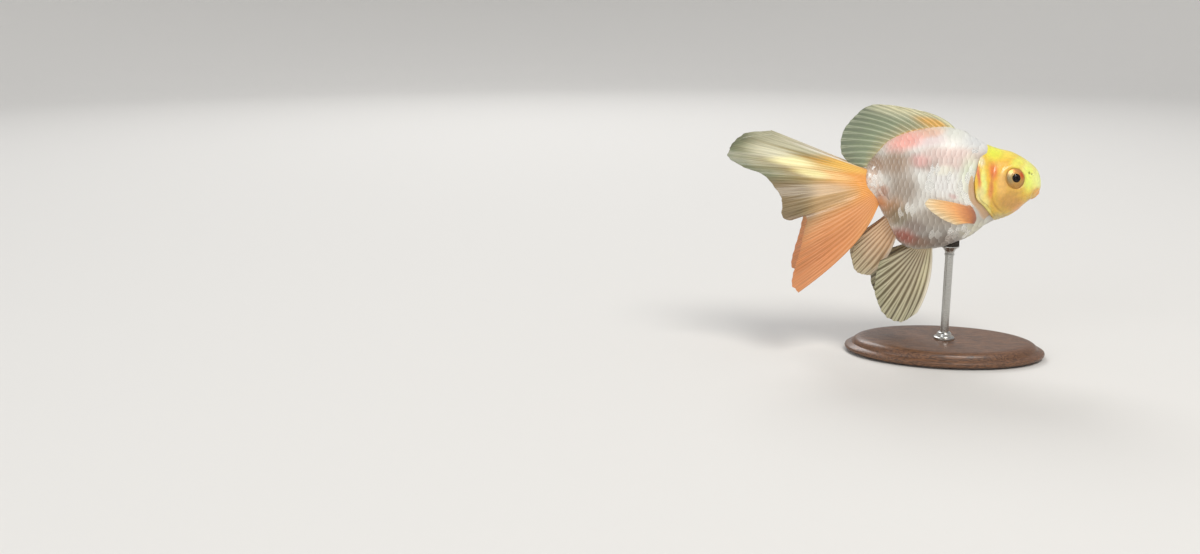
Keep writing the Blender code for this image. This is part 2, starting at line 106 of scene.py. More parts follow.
def curve_through(points: Sequence[Sequence[float]], share: Array) -> Array:
    """Read a smooth curve through evenly spaced points.

    Args:
        points: the points it passes, in order.
        share: how far along, 0 to 1, for each point wanted.

    Returns:
        One point for each share.
    """
    points = np.asarray(points, float)
    padded = np.vstack([2 * points[0] - points[1], points, 2 * points[-1] - points[-2]])
    place = np.asarray(share, float) * (len(points) - 1)
    span = np.clip(place.astype(int), 0, len(points) - 2)
    t = (place - span)[..., None]
    p0, p1, p2, p3 = (padded[span + i] for i in range(4))
    return 0.5 * (2 * p1 + (p2 - p0) * t + (2 * p0 - 5 * p1 + 4 * p2 - p3) * t ** 2
                  + (3 * p1 - p0 - 3 * p2 + p3) * t ** 3)


def ease(value: Array, low: float, high: float) -> Array:
    """Soft step: 0 at low, 1 at high, level at both."""
    t = np.clip((np.asarray(value, float) - low) / (high - low), 0.0, 1.0)
    return t * t * (3 - 2 * t)


def bell(value: Array, width: float | Array) -> Array:
    """Soft hump of height 1 at 0 that has fallen to about a third at the width."""
    return np.exp(-(np.asarray(value, float) / width) ** 2)


def unit(vectors: Array) -> Array:
    """Vectors brought to length 1."""
    return vectors / np.maximum(np.linalg.norm(vectors, axis=-1, keepdims=True), 1e-12)


def degrees_from_back(turn: Array) -> Array:
    """Turns round the body folded onto one flank: 0 at the back, 180 at the belly."""
    return np.degrees(np.abs(np.mod(turn + math.pi, 2 * math.pi) - math.pi))


def distance_to(path: Sequence[Sequence[float]], places: Array, samples: int = 60) -> Array:
    """Distance of places from a smooth path through a few points.

    Args:
        path: the points of the path, in as many dimensions as the places have.
        places: one row for each place.
        samples: how many points of the path are tried.

    Returns:
        The distance of each place from the nearest point tried.
    """
    line = curve_through(path, np.linspace(0.0, 1.0, samples))
    best = np.full(len(places), np.inf)
    for point in line:
        best = np.minimum(best, ((places - point) ** 2).sum(axis=1))
    return np.sqrt(best)


# ---- the body's form ----
@dataclass(frozen=True)
class Station:
    """One section of the body: where its back, belly, flank and widest height are."""

    y: float
    back: float
    belly: float
    half_width: float
    widest: float


@dataclass(frozen=True)
class BodyForm:
    """The smooth closed form that the solid body follows too."""

    stations: tuple[Station, ...] = (
        Station(-48.2, 8.0, -10.2, 7.0, -2.8), Station(-44.0, 8.9, -10.2, 9.0, -2.8),
        Station(-40.5, 11.2, -12.4, 11.4, -2.8), Station(-35.5, 14.3, -17.2, 13.8, -3.0),
        Station(-30.0, 16.8, -20.9, 15.8, -3.2), Station(-24.5, 18.0, -22.9, 17.6, -3.6),
        Station(-17.5, 20.3, -26.8, 19.4, -4.6), Station(-12.0, 23.2, -32.0, 20.8, -5.6),
        Station(-4.0, 28.1, -36.3, 22.4, -7.0), Station(8.0, 30.5, -40.8, 23.2, -8.4),
        Station(20.0, 28.8, -42.5, 21.6, -8.6), Station(30.0, 26.0, -37.6, 17.4, -7.0),
        Station(38.0, 22.0, -24.0, 11.6, -3.5), Station(44.0, 15.6, -14.6, 7.4, -1.0),
        Station(51.5, 6.0, -9.0, 4.4, -1.0))
    gill_turns: tuple[float, ...] = (0, 30, 48, 62, 76, 92, 108, 125, 140, 160, 180)
    gill_places: tuple[float, ...] = (-17.3, -16.2, -11.2, -9.6, -8.5, -9.8, -15.0, -18.6,
                                      -20.8, -23.2, -24.6)
    gill_ring: float = -12.0  # nominal place of the ring that follows the gill line
    bend_ahead: float = 28.4  # how far ahead of that ring others still bend with it
    bend_behind: float = 34.0
    snout_rounding: float = 6.0
    stem_rounding: float = 2.6
    back_fullness: float = 1.12
    belly_fullness: float = 0.92
    snout_depth: float = 14.0  # how far back from its tip the snout's face is looked for
    halvings: int = 30  # of that search

    @property
    def snout_y(self) -> float:
        """Foremost place of the body."""
        return self.stations[0].y

    @property
    def stem_end_y(self) -> float:
        """Rearmost place of the tail stem."""
        return self.stations[-1].y

    def value(self, field: str, y: Array) -> Array:
        """One field of the stations at y."""
        return smooth_between([s.y for s in self.stations],
                              [getattr(s, field) for s in self.stations], y)

    def end_rounding(self, y: Array) -> Array:
        """Share of the full section at y: it falls to nothing at both ends.

        Args:
            y: places along the body.

        Returns:
            The share at each place.
        """
        share = np.ones_like(y)
        for distance, length in ((y - self.snout_y, self.snout_rounding),
                                 (self.stem_end_y - y, self.stem_rounding)):
            near = np.clip(distance / length, 0.0, 1.0)
            share = share * np.sqrt(np.maximum(1 - (1 - near) ** 2, 0.0))
        return share

    def point(self, y: Array, turn: Array) -> Array:
        """Points of the body.

        Args:
            y: places along the body.
            turn: turns in radians from the back down the left flank.

        Returns:
            One point in millimetres for each pair.
        """
        y, turn = np.broadcast_arrays(np.asarray(y, float), np.asarray(turn, float))
        scale = self.end_rounding(y)
        widest = self.value("widest", y)
        upper = np.cos(turn) >= 0
        reach = np.where(upper, self.value("back", y) - widest, widest - self.value("belly", y))
        fullness = np.where(upper, self.back_fullness, self.belly_fullness)
        sine = np.sin(turn)
        out = np.sign(sine) * np.abs(sine) ** fullness
        return np.stack([self.value("half_width", y) * out * scale, y,
                         widest + reach * np.cos(turn) * scale], axis=-1)

    def normal(self, y: Array, turn: Array) -> Array:
        """Outward directions of the body at the same pairs as point.

        Args:
            y: places along the body.
            turn: turns in radians from the back down the left flank.

        Returns:
            One direction of length 1 for each pair.
        """
        step_y, step_turn = 0.02, 0.01
        ahead = np.clip(y - step_y, self.snout_y, self.stem_end_y)
        behind = np.clip(y + step_y, self.snout_y, self.stem_end_y)
        along = self.point(behind, turn) - self.point(ahead, turn)
        middle = 0.5 * (ahead + behind)
        around = self.point(middle, turn + step_turn) - self.point(middle, turn - step_turn)
        return unit(np.cross(around, along))

    def flank_x(self, y: float, z: float) -> float:
        """How far out the left flank lies at a height.

        Args:
            y: place along the body.
            z: height over the long axis.

        Returns:
            The distance from the middle plane.
        """
        y = np.asarray(y, float)
        widest = self.value("widest", y)
        upper = z >= widest
        reach = self.value("back", y) - widest if upper else widest - self.value("belly", y)
        cosine = min(abs(z - widest) / reach, 1.0)
        fullness = self.back_fullness if upper else self.belly_fullness
        return float(self.value("half_width", y) * (1 - cosine ** 2) ** (0.5 * fullness))

    def flank_normal(self, y: float, z: float, step: float = 0.5) -> Array:
        """Outward direction of the left flank at a place.

        Args:
            y: place along the body.
            z: height over the long axis.
            step: how far to either side the slope is taken.

        Returns:
            The direction, of length 1.
        """
        along_y = (self.flank_x(y + step, z) - self.flank_x(y - step, z)) / (2 * step)
        along_z = (self.flank_x(y, z + step) - self.flank_x(y, z - step)) / (2 * step)
        return unit(np.array((1.0, -along_y, -along_z)))

    def front_y(self, x: Array, z: Array) -> Array:
        """Where the snout's surface lies for places seen from the front.

        Args:
            x: distances from the middle plane.
            z: heights over the long axis.

        Returns:
            The places along the body.
        """
        low = np.full(np.shape(x), self.snout_y)
        high = low + self.snout_depth
        for _ in range(self.halvings):
            y = 0.5 * (low + high)
            scale = np.maximum(self.end_rounding(y), 1e-6)
            widest = self.value("widest", y)
            reach = np.where(z >= widest, self.value("back", y) - widest,
                             widest - self.value("belly", y))
            fullness = np.where(z >= widest, self.back_fullness, self.belly_fullness)
            cosine = np.clip(np.abs(z - widest) / (reach * scale), 0.0, 1.0)
            half = self.value("half_width", y) * scale * (1 - cosine ** 2) ** (0.5 * fullness)
            inside = (half > np.abs(x)) & (cosine < 1.0)
            low, high = np.where(inside, low, y), np.where(inside, y, high)
        return 0.5 * (low + high)

    def belly_z(self, x: Array, y: Array) -> Array:
        """Height of the underside over places seen from below.

        Args:
            x: distances from the middle plane.
            y: places along the body.

        Returns:
            The heights over the long axis.
        """
        widest = self.value("widest", y)
        share = np.clip(np.abs(x) / self.value("half_width", y), 0.0, 1.0)
        cosine = np.sqrt(1 - share ** (2 / self.belly_fullness))
        return widest - (widest - self.value("belly", y)) * cosine

    def gill_line(self, turn: Array) -> Array:
        """Where the edge of the head crosses each turn, on either flank."""
        return smooth_between(self.gill_turns, self.gill_places, degrees_from_back(turn))


# ---- meshes made with operators ----
def deselect_all() -> None:
    """Leave nothing selected, in object mode."""
    if bpy.context.object is not None and bpy.context.object.mode != "OBJECT":
        bpy.ops.object.mode_set(mode="OBJECT")
    bpy.ops.object.select_all(action="DESELECT")


def make_active(piece: Piece) -> None:
    """Select one object alone and make it the active one.

    Args:
        piece: the object.
    """
    deselect_all()
    piece.select_set(True)
    bpy.context.view_layer.objects.active = piece


def points_of(piece: Piece) -> Array:
    """The mesh's points, one row each.

    Args:
        piece: the object.

    Returns:
        One row of x, y and z for each point, as the mesh holds them.
    """
    flat = np.empty(len(piece.data.vertices) * 3)
    piece.data.vertices.foreach_get("co", flat)
    return flat.reshape(-1, 3)


def in_frame(points: Array) -> Array:
    """Places in the fish's millimetres as a flat row of metres in the frame."""
    return ((points + (0.0, 0.0, AXIS_HEIGHT)) * MM).astype(np.float32).ravel()


def set_points(piece: Piece, points: Array) -> None:
    """Move the mesh's points to places in the fish's millimetres.

    Args:
        piece: the object.
        points: one row for each point.
    """
    piece.data.vertices.foreach_set("co", in_frame(points))
    piece.data.update()


def note(piece: Piece, name: str, values: Array) -> None:
    """Write one number for each point as an attribute that a finish can read.

    Args:
        piece: the object.
        name: the attribute's name.
        values: one number for each point.
    """
    mesh = piece.data
    if name in mesh.attributes:
        mesh.attributes.remove(mesh.attributes[name])
    made = mesh.attributes.new(name, "FLOAT", "POINT")
    made.data.foreach_set("value", np.asarray(values, np.float32).ravel())


def apply_modifier(piece: Piece, kind: str, **settings: object) -> None:
    """Add a modifier with its settings and apply it.

    Args:
        piece: the object.
        kind: the modifier's type.
        settings: its settings by name.
    """
    make_active(piece)
    added = piece.modifiers.new(kind.lower(), kind)
    for key, value in settings.items():
        setattr(added, key, value)
    bpy.ops.object.modifier_apply(modifier=added.name)


def in_edit_mode(piece: Piece, *steps: Callable[[], object]) -> None:
    """Run edit-mode steps on the whole mesh of one piece.

    Args:
        piece: the object.
        steps: what to run, in order.
    """
    make_active(piece)
    bpy.ops.object.mode_set(mode="EDIT")
    bpy.ops.mesh.select_all(action="SELECT")
    for step in steps:
        step()
    bpy.ops.object.mode_set(mode="OBJECT")


def face_outwards(piece: Piece) -> None:
    """Turn every face of a closed piece outwards."""
    in_edit_mode(piece, lambda: bpy.ops.mesh.normals_make_consistent(inside=False))


def add_sheet(name: str, columns: int, rows: int, uv_name: str) -> tuple[Piece, Array, Array]:
    """A flat grid, ready to be laid on a form.

    Args:
        name: the piece's name.
        columns: faces across.
        rows: faces along.
        uv_name: name of its UV map, which holds (across, along).

    Returns:
        The object, and each point's share across and share along.
    """
    deselect_all()
    bpy.ops.mesh.primitive_grid_add(x_subdivisions=columns, y_subdivisions=rows, size=2.0)
    sheet = bpy.context.object
    sheet.name = sheet.data.name = name
    sheet.data.uv_layers[0].name = uv_name
    flat = points_of(sheet)
    return sheet, 0.5 * (flat[:, 0] + 1), 0.5 * (flat[:, 1] + 1)


def add_turned(name: str, profile: Sequence[Pair], sides: int) -> Piece:
    """A solid turned about the upright through the origin.

    Args:
        name: the piece's name.
        profile: (radius, height) pairs in millimetres, from the bottom to the top. The first
            and the last lie on the axis.
        sides: faces round it.

    Returns:
        The object, in metres, with its place in its mesh.
    """
    deselect_all()
    radius, height = profile[0]
    bpy.ops.mesh.primitive_circle_add(vertices=3, radius=MM, fill_type="NOTHING")
    turned = bpy.context.object
    turned.name = turned.data.name = name
    bpy.ops.object.mode_set(mode="EDIT")
    bpy.ops.mesh.select_all(action="SELECT")
    bpy.ops.mesh.merge(type="CENTER")
    bpy.ops.transform.translate(value=(radius * MM, 0.0, height * MM))
    for (r0, h0), (r1, h1) in zip(profile, profile[1:]):
        bpy.ops.mesh.extrude_region_move(
            TRANSFORM_OT_translate={"value": ((r1 - r0) * MM, 0.0, (h1 - h0) * MM)})
    bpy.ops.mesh.select_all(action="SELECT")
    bpy.ops.mesh.spin(steps=sides, angle=2 * math.pi, center=(0, 0, 0), axis=(0, 0, 1))
    bpy.ops.mesh.select_all(action="SELECT")
    bpy.ops.mesh.remove_doubles(threshold=1e-6)
    bpy.ops.mesh.normals_make_consistent(inside=False)
    bpy.ops.object.mode_set(mode="OBJECT")
    return turned


def hand_over(piece: Piece, finish: "Finish", slot: str, *nodes: str,
              sharp: float = 40.0) -> None:
    """Shade, dress and attach a finished piece, hiding the CAD nodes it stands for.

    Args:
        piece: the object.
        finish: what it is made of.
        slot: not used.
        nodes: the CAD nodes that it stands for.
        sharp: edges sharper than this, in degrees, stay sharp.
    """
    make_active(piece)
    bpy.ops.object.shade_smooth_by_angle(angle=math.radians(sharp))
    piece.data.materials.clear()
    piece.data.materials.append(finish.material())
    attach(piece, BODY)
    if nodes:
        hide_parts(*nodes)
    piece.data.calc_loop_triangles()
    LOG.info("%s: %d triangles, finish %s", piece.name, len(piece.data.loop_triangles),
             finish.name)


# ---- nodes ----
def shade(code: str) -> tuple[float, float, float, float]:
    """Linear colour of a six-digit screen colour.

    Args:
        code: the colour as rrggbb.

    Returns:
        The colour, with an alpha of 1.
    """
    parts = [int(code[i:i + 2], 16) / 255 for i in (0, 2, 4)]
    linear = [c / 12.92 if c <= 0.04045 else ((c + 0.055) / 1.055) ** 2.4 for c in parts]
    return (*linear, 1.0)


@dataclass(frozen=True)
class Patch:
    """A soft-edged spot of colour: its middle, its reach, its colour and how strong it is."""

    middle: Pair
    reach: Pair
    colour: str
    strength: float = 1.0
    turn: float = 0.0


class Wiring:
    """Lays and joins the nodes of one material or node group."""

    def __init__(self, tree: bpy.types.NodeTree) -> None:
        """Work on an empty tree."""
        self.tree = tree
        tree.nodes.clear()

    def add(self, kind: str, inputs: dict[int | str, Wire] | None = None, **settings: object
            ) -> bpy.types.Node:
        """A new node with its settings, fed through its inputs.

        Args:
            kind: the node's type.
            inputs: a value or another node's socket for each input, by name or number.
            settings: its settings by name.

        Returns:
            The node.
        """
        node = self.tree.nodes.new(kind)
        for name, value in settings.items():
            setattr(node, name, value)
        for key, value in (inputs or {}).items():
            if isinstance(value, Socket):
                self.tree.links.new(value, node.inputs[key])
            else:
                node.inputs[key].default_value = value
        return node

    def math(self, operation: str, first: Wire, second: Wire = 0.0, clamp: bool = False) -> Socket:
        """One sum on two numbers."""
        return self.add("ShaderNodeMath", {0: first, 1: second}, operation=operation,
                        use_clamp=clamp).outputs[0]

    def times(self, first: Wire, second: Wire) -> Socket:
        """One number times another."""
        return self.math("MULTIPLY", first, second)

    def vector(self, operation: str, first: Wire, second: Wire = (0.0, 0.0, 0.0)) -> Socket:
        """One sum on two vectors; SCALE takes a number as its second."""
        inputs = {0: first, "Scale" if operation == "SCALE" else 1: second}
        node = self.add("ShaderNodeVectorMath", inputs, operation=operation)
        return node.outputs["Value" if operation == "LENGTH" else "Vector"]

    def band(self, value: Wire, low: float, high: float, start: float = 0.0, end: float = 1.0
             ) -> Socket:
        """Soft step from start to end as the value goes from low to high."""
        inputs = {"Value": value, "From Min": low, "From Max": high, "To Min": start,
                  "To Max": end}
        return self.add("ShaderNodeMapRange", inputs, interpolation_type="SMOOTHSTEP").outputs[0]

    def mix(self, share: Wire, first: Wire, second: Wire, way: str = "MIX") -> Socket:
        """A mix of two colours."""
        return self.add("ShaderNodeMix", {0: share, 6: first, 7: second}, data_type="RGBA",
                        blend_type=way).outputs[2]

    def tint(self, colour: Wire, mask: Wire, strength: float, over: str) -> Socket:
        """A colour with another laid over it as strongly as a mask says."""
        return self.mix(self.times(mask, strength), colour, shade(over))

    def noise(self, place: Wire, scale: float, detail: float = 2.0, roughness: float = 0.5,
              output: int = 0) -> Socket:
        """A noise texture: output 0 is its level and 1 its colour."""
        return self.add("ShaderNodeTexNoise", {"Vector": place, "Scale": scale, "Detail": detail,
                                               "Roughness": roughness}).outputs[output]

    def read(self, attribute: str) -> Socket:
        """A number that the mesh carries at each point."""
        return self.add("ShaderNodeAttribute", attribute_name=attribute).outputs["Fac"]

    def ramp(self, value: Wire, stops: Sequence[tuple[float, str | float]]) -> Socket:
        """A colour or a level read along stops.

        Args:
            value: where it is read.
            stops: (place, colour or level) pairs, rising.

        Returns:
            The colour.
        """
        node = self.add("ShaderNodeValToRGB", {0: value})
        elements = node.color_ramp.elements
        while len(elements) < len(stops):
            elements.new(0.5)
        for element, (place, tone) in zip(elements, stops):
            element.position = place
            element.color = shade(tone) if isinstance(tone, str) else (tone, tone, tone, 1.0)
        return node.outputs[0]

    def split(self, place: Wire) -> tuple[Socket, ...]:
        """The three parts of a vector."""
        return tuple(self.add("ShaderNodeSeparateXYZ", {0: place}).outputs)

    def stretched(self, place: Wire, scale: Triple) -> Socket:
        """A place with each of its parts multiplied, so that a texture is drawn out."""
        return self.add("ShaderNodeMapping", {"Vector": place, "Scale": scale}).outputs[0]

    def in_fish_mm(self) -> Socket:
        """The fish's own place in millimetres."""
        place = self.add("ShaderNodeTexCoord").outputs["Object"]
        return self.add("ShaderNodeMapping", {"Vector": place, "Scale": (1 / MM,) * 3,
                                              "Location": (0.0, 0.0, -AXIS_HEIGHT)}).outputs[0]

    def painted(self, place: Wire, ground: Wire, patches: Sequence[Patch]) -> Socket:
        """Patches laid over a ground colour, in order, on a flat (across, up) place.

        Args:
            place: where the colour is read.
            ground: the colour under all patches.
            patches: what lies over it.

        Returns:
            The colour.
        """
        colour = ground
        for patch in patches:
            spot = self.add("ShaderNodeMapping", {
                "Vector": place, "Location": (*patch.middle, 0.0), "Scale": (*patch.reach, 1.0),
                "Rotation": (0.0, 0.0, math.radians(patch.turn))}, vector_type="TEXTURE")
            away = self.vector("LENGTH", spot.outputs[0])
            share = self.band(away, 1.3, 0.3, 0.0, patch.strength)
            colour = self.mix(share, colour, shade(patch.colour))
        return colour

    def bump(self, height: Wire, distance: float, strength: float) -> Socket:
        """A bump whose height of 1 is a distance in millimetres."""
        return self.add("ShaderNodeBump", {"Height": height, "Distance": distance * MM,
                                           "Strength": strength}).outputs[0]

    def surface(self, shader: bpy.types.Node) -> None:
        """Join a shader to the material's output."""
        self.add("ShaderNodeOutputMaterial", {"Surface": shader.outputs[0]})

    def principled(self, colour: Wire, roughness: Wire, normal: Wire | None = None,
                   **values: Wire) -> None:
        """Lay the surface shader and join it to the output.

        Args:
            colour: base colour.
            roughness: roughness.
            normal: bumped normal, if any.
            values: other inputs, named with _ for a space.
        """
        inputs = {name.replace("_", " "): value for name, value in values.items()}
        if normal is not None:
            inputs["Normal"] = normal
        self.surface(self.add("ShaderNodeBsdfPrincipled", {
            "Base Color": colour, "Roughness": roughness, **inputs}))


# ---- finishes ----
@dataclass(frozen=True)
class Finish:
    """What a surface is made of; each kind lays its own nodes."""

    name: str

    def material(self) -> bpy.types.Material:
        """The finish's material, made once.

        Returns:
            The material.
        """
        if self.name in bpy.data.materials:
            return bpy.data.materials[self.name]
        made = bpy.data.materials.new(self.name)
        made.use_nodes = True
        self.lay(Wiring(made.node_tree))
        return made

    def lay(self, wires: Wiring) -> None:
        """Lay the nodes."""
        raise NotImplementedError


@dataclass(frozen=True)
class Markings:
    """The fish's colours, shared by its skin and its scales; places are (y, z) in mm."""

    name: str = "fish_markings"
    head: str = "efc448"
    body: str = "eceae2"
    wander: float = 2.4  # how far the edges of the patches wander
    head_patches: tuple[Patch, ...] = (
        Patch((-36.0, -15.0), (10.0, 5.0), "faaf5e", 0.85, 35.0),  # jaw
        Patch((-26.0, -21.5), (9.0, 4.6), "d0bb6c", 0.9, 15.0),  # throat
        Patch((-28.0, -9.0), (9.5, 7.0), "d6a150", 0.95),  # cheek
        Patch((-24.0, 1.0), (3.6, 8.0), "f8c474", 0.85, 4.0),  # behind the eye
        Patch((-31.0, 2.6), (7.6, 7.4), "d8a45c", 0.9),  # round the eye, darker orange-tan as painted socket shade
        Patch((-25.5, 11.0), (8.0, 4.2), "f2bc40", 0.9, -12.0),  # temple
        Patch((-20.5, 17.5), (7.0, 4.6), "eef04a", 0.95),  # back of the crown
        Patch((-30.0, 16.6), (7.0, 3.0), "f6de58", 0.9, -18.0),  # crown
        Patch((-39.5, 9.5), (7.0, 4.4), "f5ef88", 0.95, -38.0),  # forehead
        Patch((-39.4, 2.6), (4.6, 8.0), "eefa74", 0.95),  # ahead of the eye
        Patch((-33.0, 11.6), (5.6, 3.0), "f0ee68", 0.9, -18.0),  # above the eye
        Patch((-46.0, 2.0), (6.4, 8.0), "f6fa94", 1.0),  # snout
        Patch((-46.5, -6.0), (4.6, 3.2), "f4b258", 0.95, 25.0),  # over the lips
        Patch((-18.6, 7.0), (3.2, 5.6), "ee8840", 1.0, -10.0),  # blush
        Patch((-17.6, -3.0), (1.8, 8.0), "ee9a50", 0.9, 2.0),  # blush, lower end
        Patch((-13.2, 1.0), (2.0, 9.5), "f1f088", 1.0, -6.0),  # pale gill stripe
        Patch((-11.8, -6.5), (2.6, 7.5), "f2e49c", 0.95, -4.0),  # rear of the gill cover
        Patch((-11.4, 13.0), (2.4, 4.0), "f0e2ae", 0.9, -20.0),
        Patch((-14.6, -10.5), (3.2, 5.0), "f6e48c", 0.95),
        Patch((-15.8, -15.6), (4.0, 3.2), "f8ee8c", 1.0, 40.0),  # lower gill plate
        Patch((-10.0, 5.0), (1.2, 7.5), "e8835c", 0.9, -8.0),  # rosy gill edge
        Patch((-42.6, -11.5), (3.0, 2.0), "cf9484", 0.9, 30.0))  # chin
    body_patches: tuple[Patch, ...] = (
        Patch((6.0, 13.0), (27.0, 7.0), "e2c8bd", 0.85, -3.0),  # rosy upper flank
        Patch((-10.0, 26.0), (12.0, 8.0), "ebeceb", 0.9, 25.0),  # nape
        Patch((4.0, 29.0), (14.0, 6.0), "e8e8dc", 0.9),  # hump
        Patch((17.0, 23.5), (11.0, 4.5), "f0d9d6", 0.8, -8.0),
        Patch((16.5, 27.4), (9.5, 2.8), "f3c3a8", 0.8, -8.0),  # peach under the fin
        Patch((8.0, 16.8), (17.0, 3.8), "dcc2b8", 0.85, -1.0),
        Patch((-6.0, 5.0), (6.5, 12.0), "e3ecce", 0.85),  # shoulder
        # brightened against the shade under the shoulder: painted light
        Patch((-4.0, -2.0), (6.5, 8.0), "fcfcea", 0.95),
        Patch((19.0, 10.5), (8.0, 3.6), "bfada2", 0.85),
        Patch((9.0, -1.0), (9.0, 8.5), "f6f4f0", 0.85),  # flank
        # cream patch that stands for glints on the scales: a painted highlight
        Patch((9.0, 7.6), (6.5, 3.2), "f5f2e0", 0.8),
        Patch((22.0, 12.5), (6.5, 4.0), "eab2aa", 0.75),  # rosy patch
        Patch((34.5, 10.0), (10.0, 9.0), "ad937c", 0.95, -30.0),  # grey-tan rear back, partly painted shade; the next patch too
        Patch((45.5, 8.5), (6.5, 7.0), "b0927a", 0.95, -35.0),
        Patch((30.0, 22.4), (12.5, 5.6), "ffbcae", 1.0, -22.0),  # rosy base of the fin
        Patch((30.0, -4.0), (9.5, 12.0), "ae9d8c", 0.9),  # rear flank
        Patch((36.0, -17.0), (8.0, 9.0), "c69a72", 0.9, 30.0),  # rear underside
        # darker rear underside, partly painted shade
        Patch((30.0, -20.5), (9.0, 7.5), "978a6e", 0.9),
        Patch((13.0, -20.0), (16.0, 8.0), "c0b4a6", 0.85),  # lower flank, darkened partly as painted shade
        Patch((10.0, -34.0), (23.0, 9.5), "978a80", 0.85),  # belly, darkened partly as painted shade
        Patch((-11.0, -27.0), (9.0, 8.0), "eeead0", 0.85),  # chest
        Patch((3.2, -6.5), (3.0, 1.6), "e6b0aa", 0.5, 20.0),
        Patch((-10.6, -3.0), (2.4, 10.0), "cba682", 0.8, -4.0),  # behind the gill cover, tan partly painted shade of the slit
        # two darker patches low down, partly painted shade
        Patch((23.0, -25.5), (7.0, 5.0), "9c897e", 0.8),
        Patch((20.0, -35.5), (9.0, 4.5), "a5826e", 0.7),
        Patch((27.6, -32.4), (8.0, 5.6), "b37062", 1.0, 20.0),  # vent
        Patch((48.0, -1.0), (6.0, 7.0), "ecccb6", 0.9),  # tail stem
        Patch((41.0, -7.0), (4.0, 4.5), "c69c86", 0.85),
        Patch((41.5, -13.5), (3.8, 4.6), "d0966a", 0.9))  # fold ahead of the tail

    def group(self) -> bpy.types.NodeTree:
        """The node group that gives the colour, made once.

        Returns:
            The node group.
        """
        if self.name in bpy.data.node_groups:
            return bpy.data.node_groups[self.name]
        tree = bpy.data.node_groups.new(self.name, "ShaderNodeTree")
        tree.interface.new_socket("Color", in_out="OUTPUT", socket_type="NodeSocketColor")
        wires = Wiring(tree)
        place = wires.in_fish_mm()
        drift = wires.noise(place, 0.16, 3.0, 0.55, output=1)
        drift = wires.vector("SCALE", wires.vector("SUBTRACT", drift, (0.5,) * 3), self.wander)
        _, y, z = wires.split(wires.vector("ADD", place, drift))
        flat = wires.add("ShaderNodeCombineXYZ", {0: y, 1: z}).outputs[0]
        head = wires.painted(flat, shade(self.head), self.head_patches)
        body = wires.painted(flat, shade(self.body), self.body_patches)
        on_body = wires.band(wires.read("past_gill"), 0.35, 1.0)
        wires.add("NodeGroupOutput", {"Color": wires.mix(on_body, head, body)})
        return tree

    def lay(self, wires: Wiring) -> Socket:
        """The colour, as one node of a material."""
        return wires.add("ShaderNodeGroup", node_tree=self.group()).outputs["Color"]


@dataclass(frozen=True)
class SkinFinish(Finish):
    """Wet-looking skin with fine grain and painted shade in its creases."""

    markings: Markings = Markings()
    # colour of the painted shade in creases and grooves
    crease: str = "b3672c"
    lips: str = "e8a07c"
    # dark red of the mouth and gill slit, deepened by painted shade, also in the nostril pits
    inside: str = "5a1d16"
    # tan of the bare skin behind the gill cover, partly painted shade of the slit
    collar: str = "c99f72"

    def lay(self, wires: Wiring) -> None:
        """Lay the nodes.

        Args:
            wires: the material's wiring.
        """
        marks = self.markings.lay(wires)
        place = wires.in_fish_mm()
        grain = wires.noise(place, 1.1, 4.0, 0.6)
        pores = wires.add("ShaderNodeTexVoronoi", {"Vector": place, "Scale": 1.6})
        mottle = wires.band(wires.noise(place, 0.5, 3.0), 0.3, 0.75, 0.90, 1.06)
        colour = wires.mix(1.0, marks, mottle, "MULTIPLY")
        colour = wires.mix(wires.read("lips"), colour, shade(self.lips))
        # tan collar behind the gill cover, partly painted shade
        colour = wires.tint(colour, wires.read("collar"), 0.9, self.collar)
        # painted shade laid into the creases
        colour = wires.tint(colour, wires.read("crease"), 0.7, self.crease)
        # dark inside of mouth, slit and nostril pits, partly painted shade
        colour = wires.mix(wires.read("inside"), colour, shade(self.inside))
        rough = wires.band(grain, 0.3, 0.7, 0.26, 0.40)
        height = wires.math("ADD", wires.times(grain, 0.7),
                            wires.times(pores.outputs["Distance"], 0.5))
        wires.principled(colour, rough, wires.bump(height, 0.16, 0.7),
                         Subsurface_Weight=0.12, Subsurface_Radius=(0.9, 0.45, 0.2),
                         Subsurface_Scale=0.0016, Coat_Weight=0.35, Coat_Roughness=0.16,
                         Specular_IOR_Level=0.5)


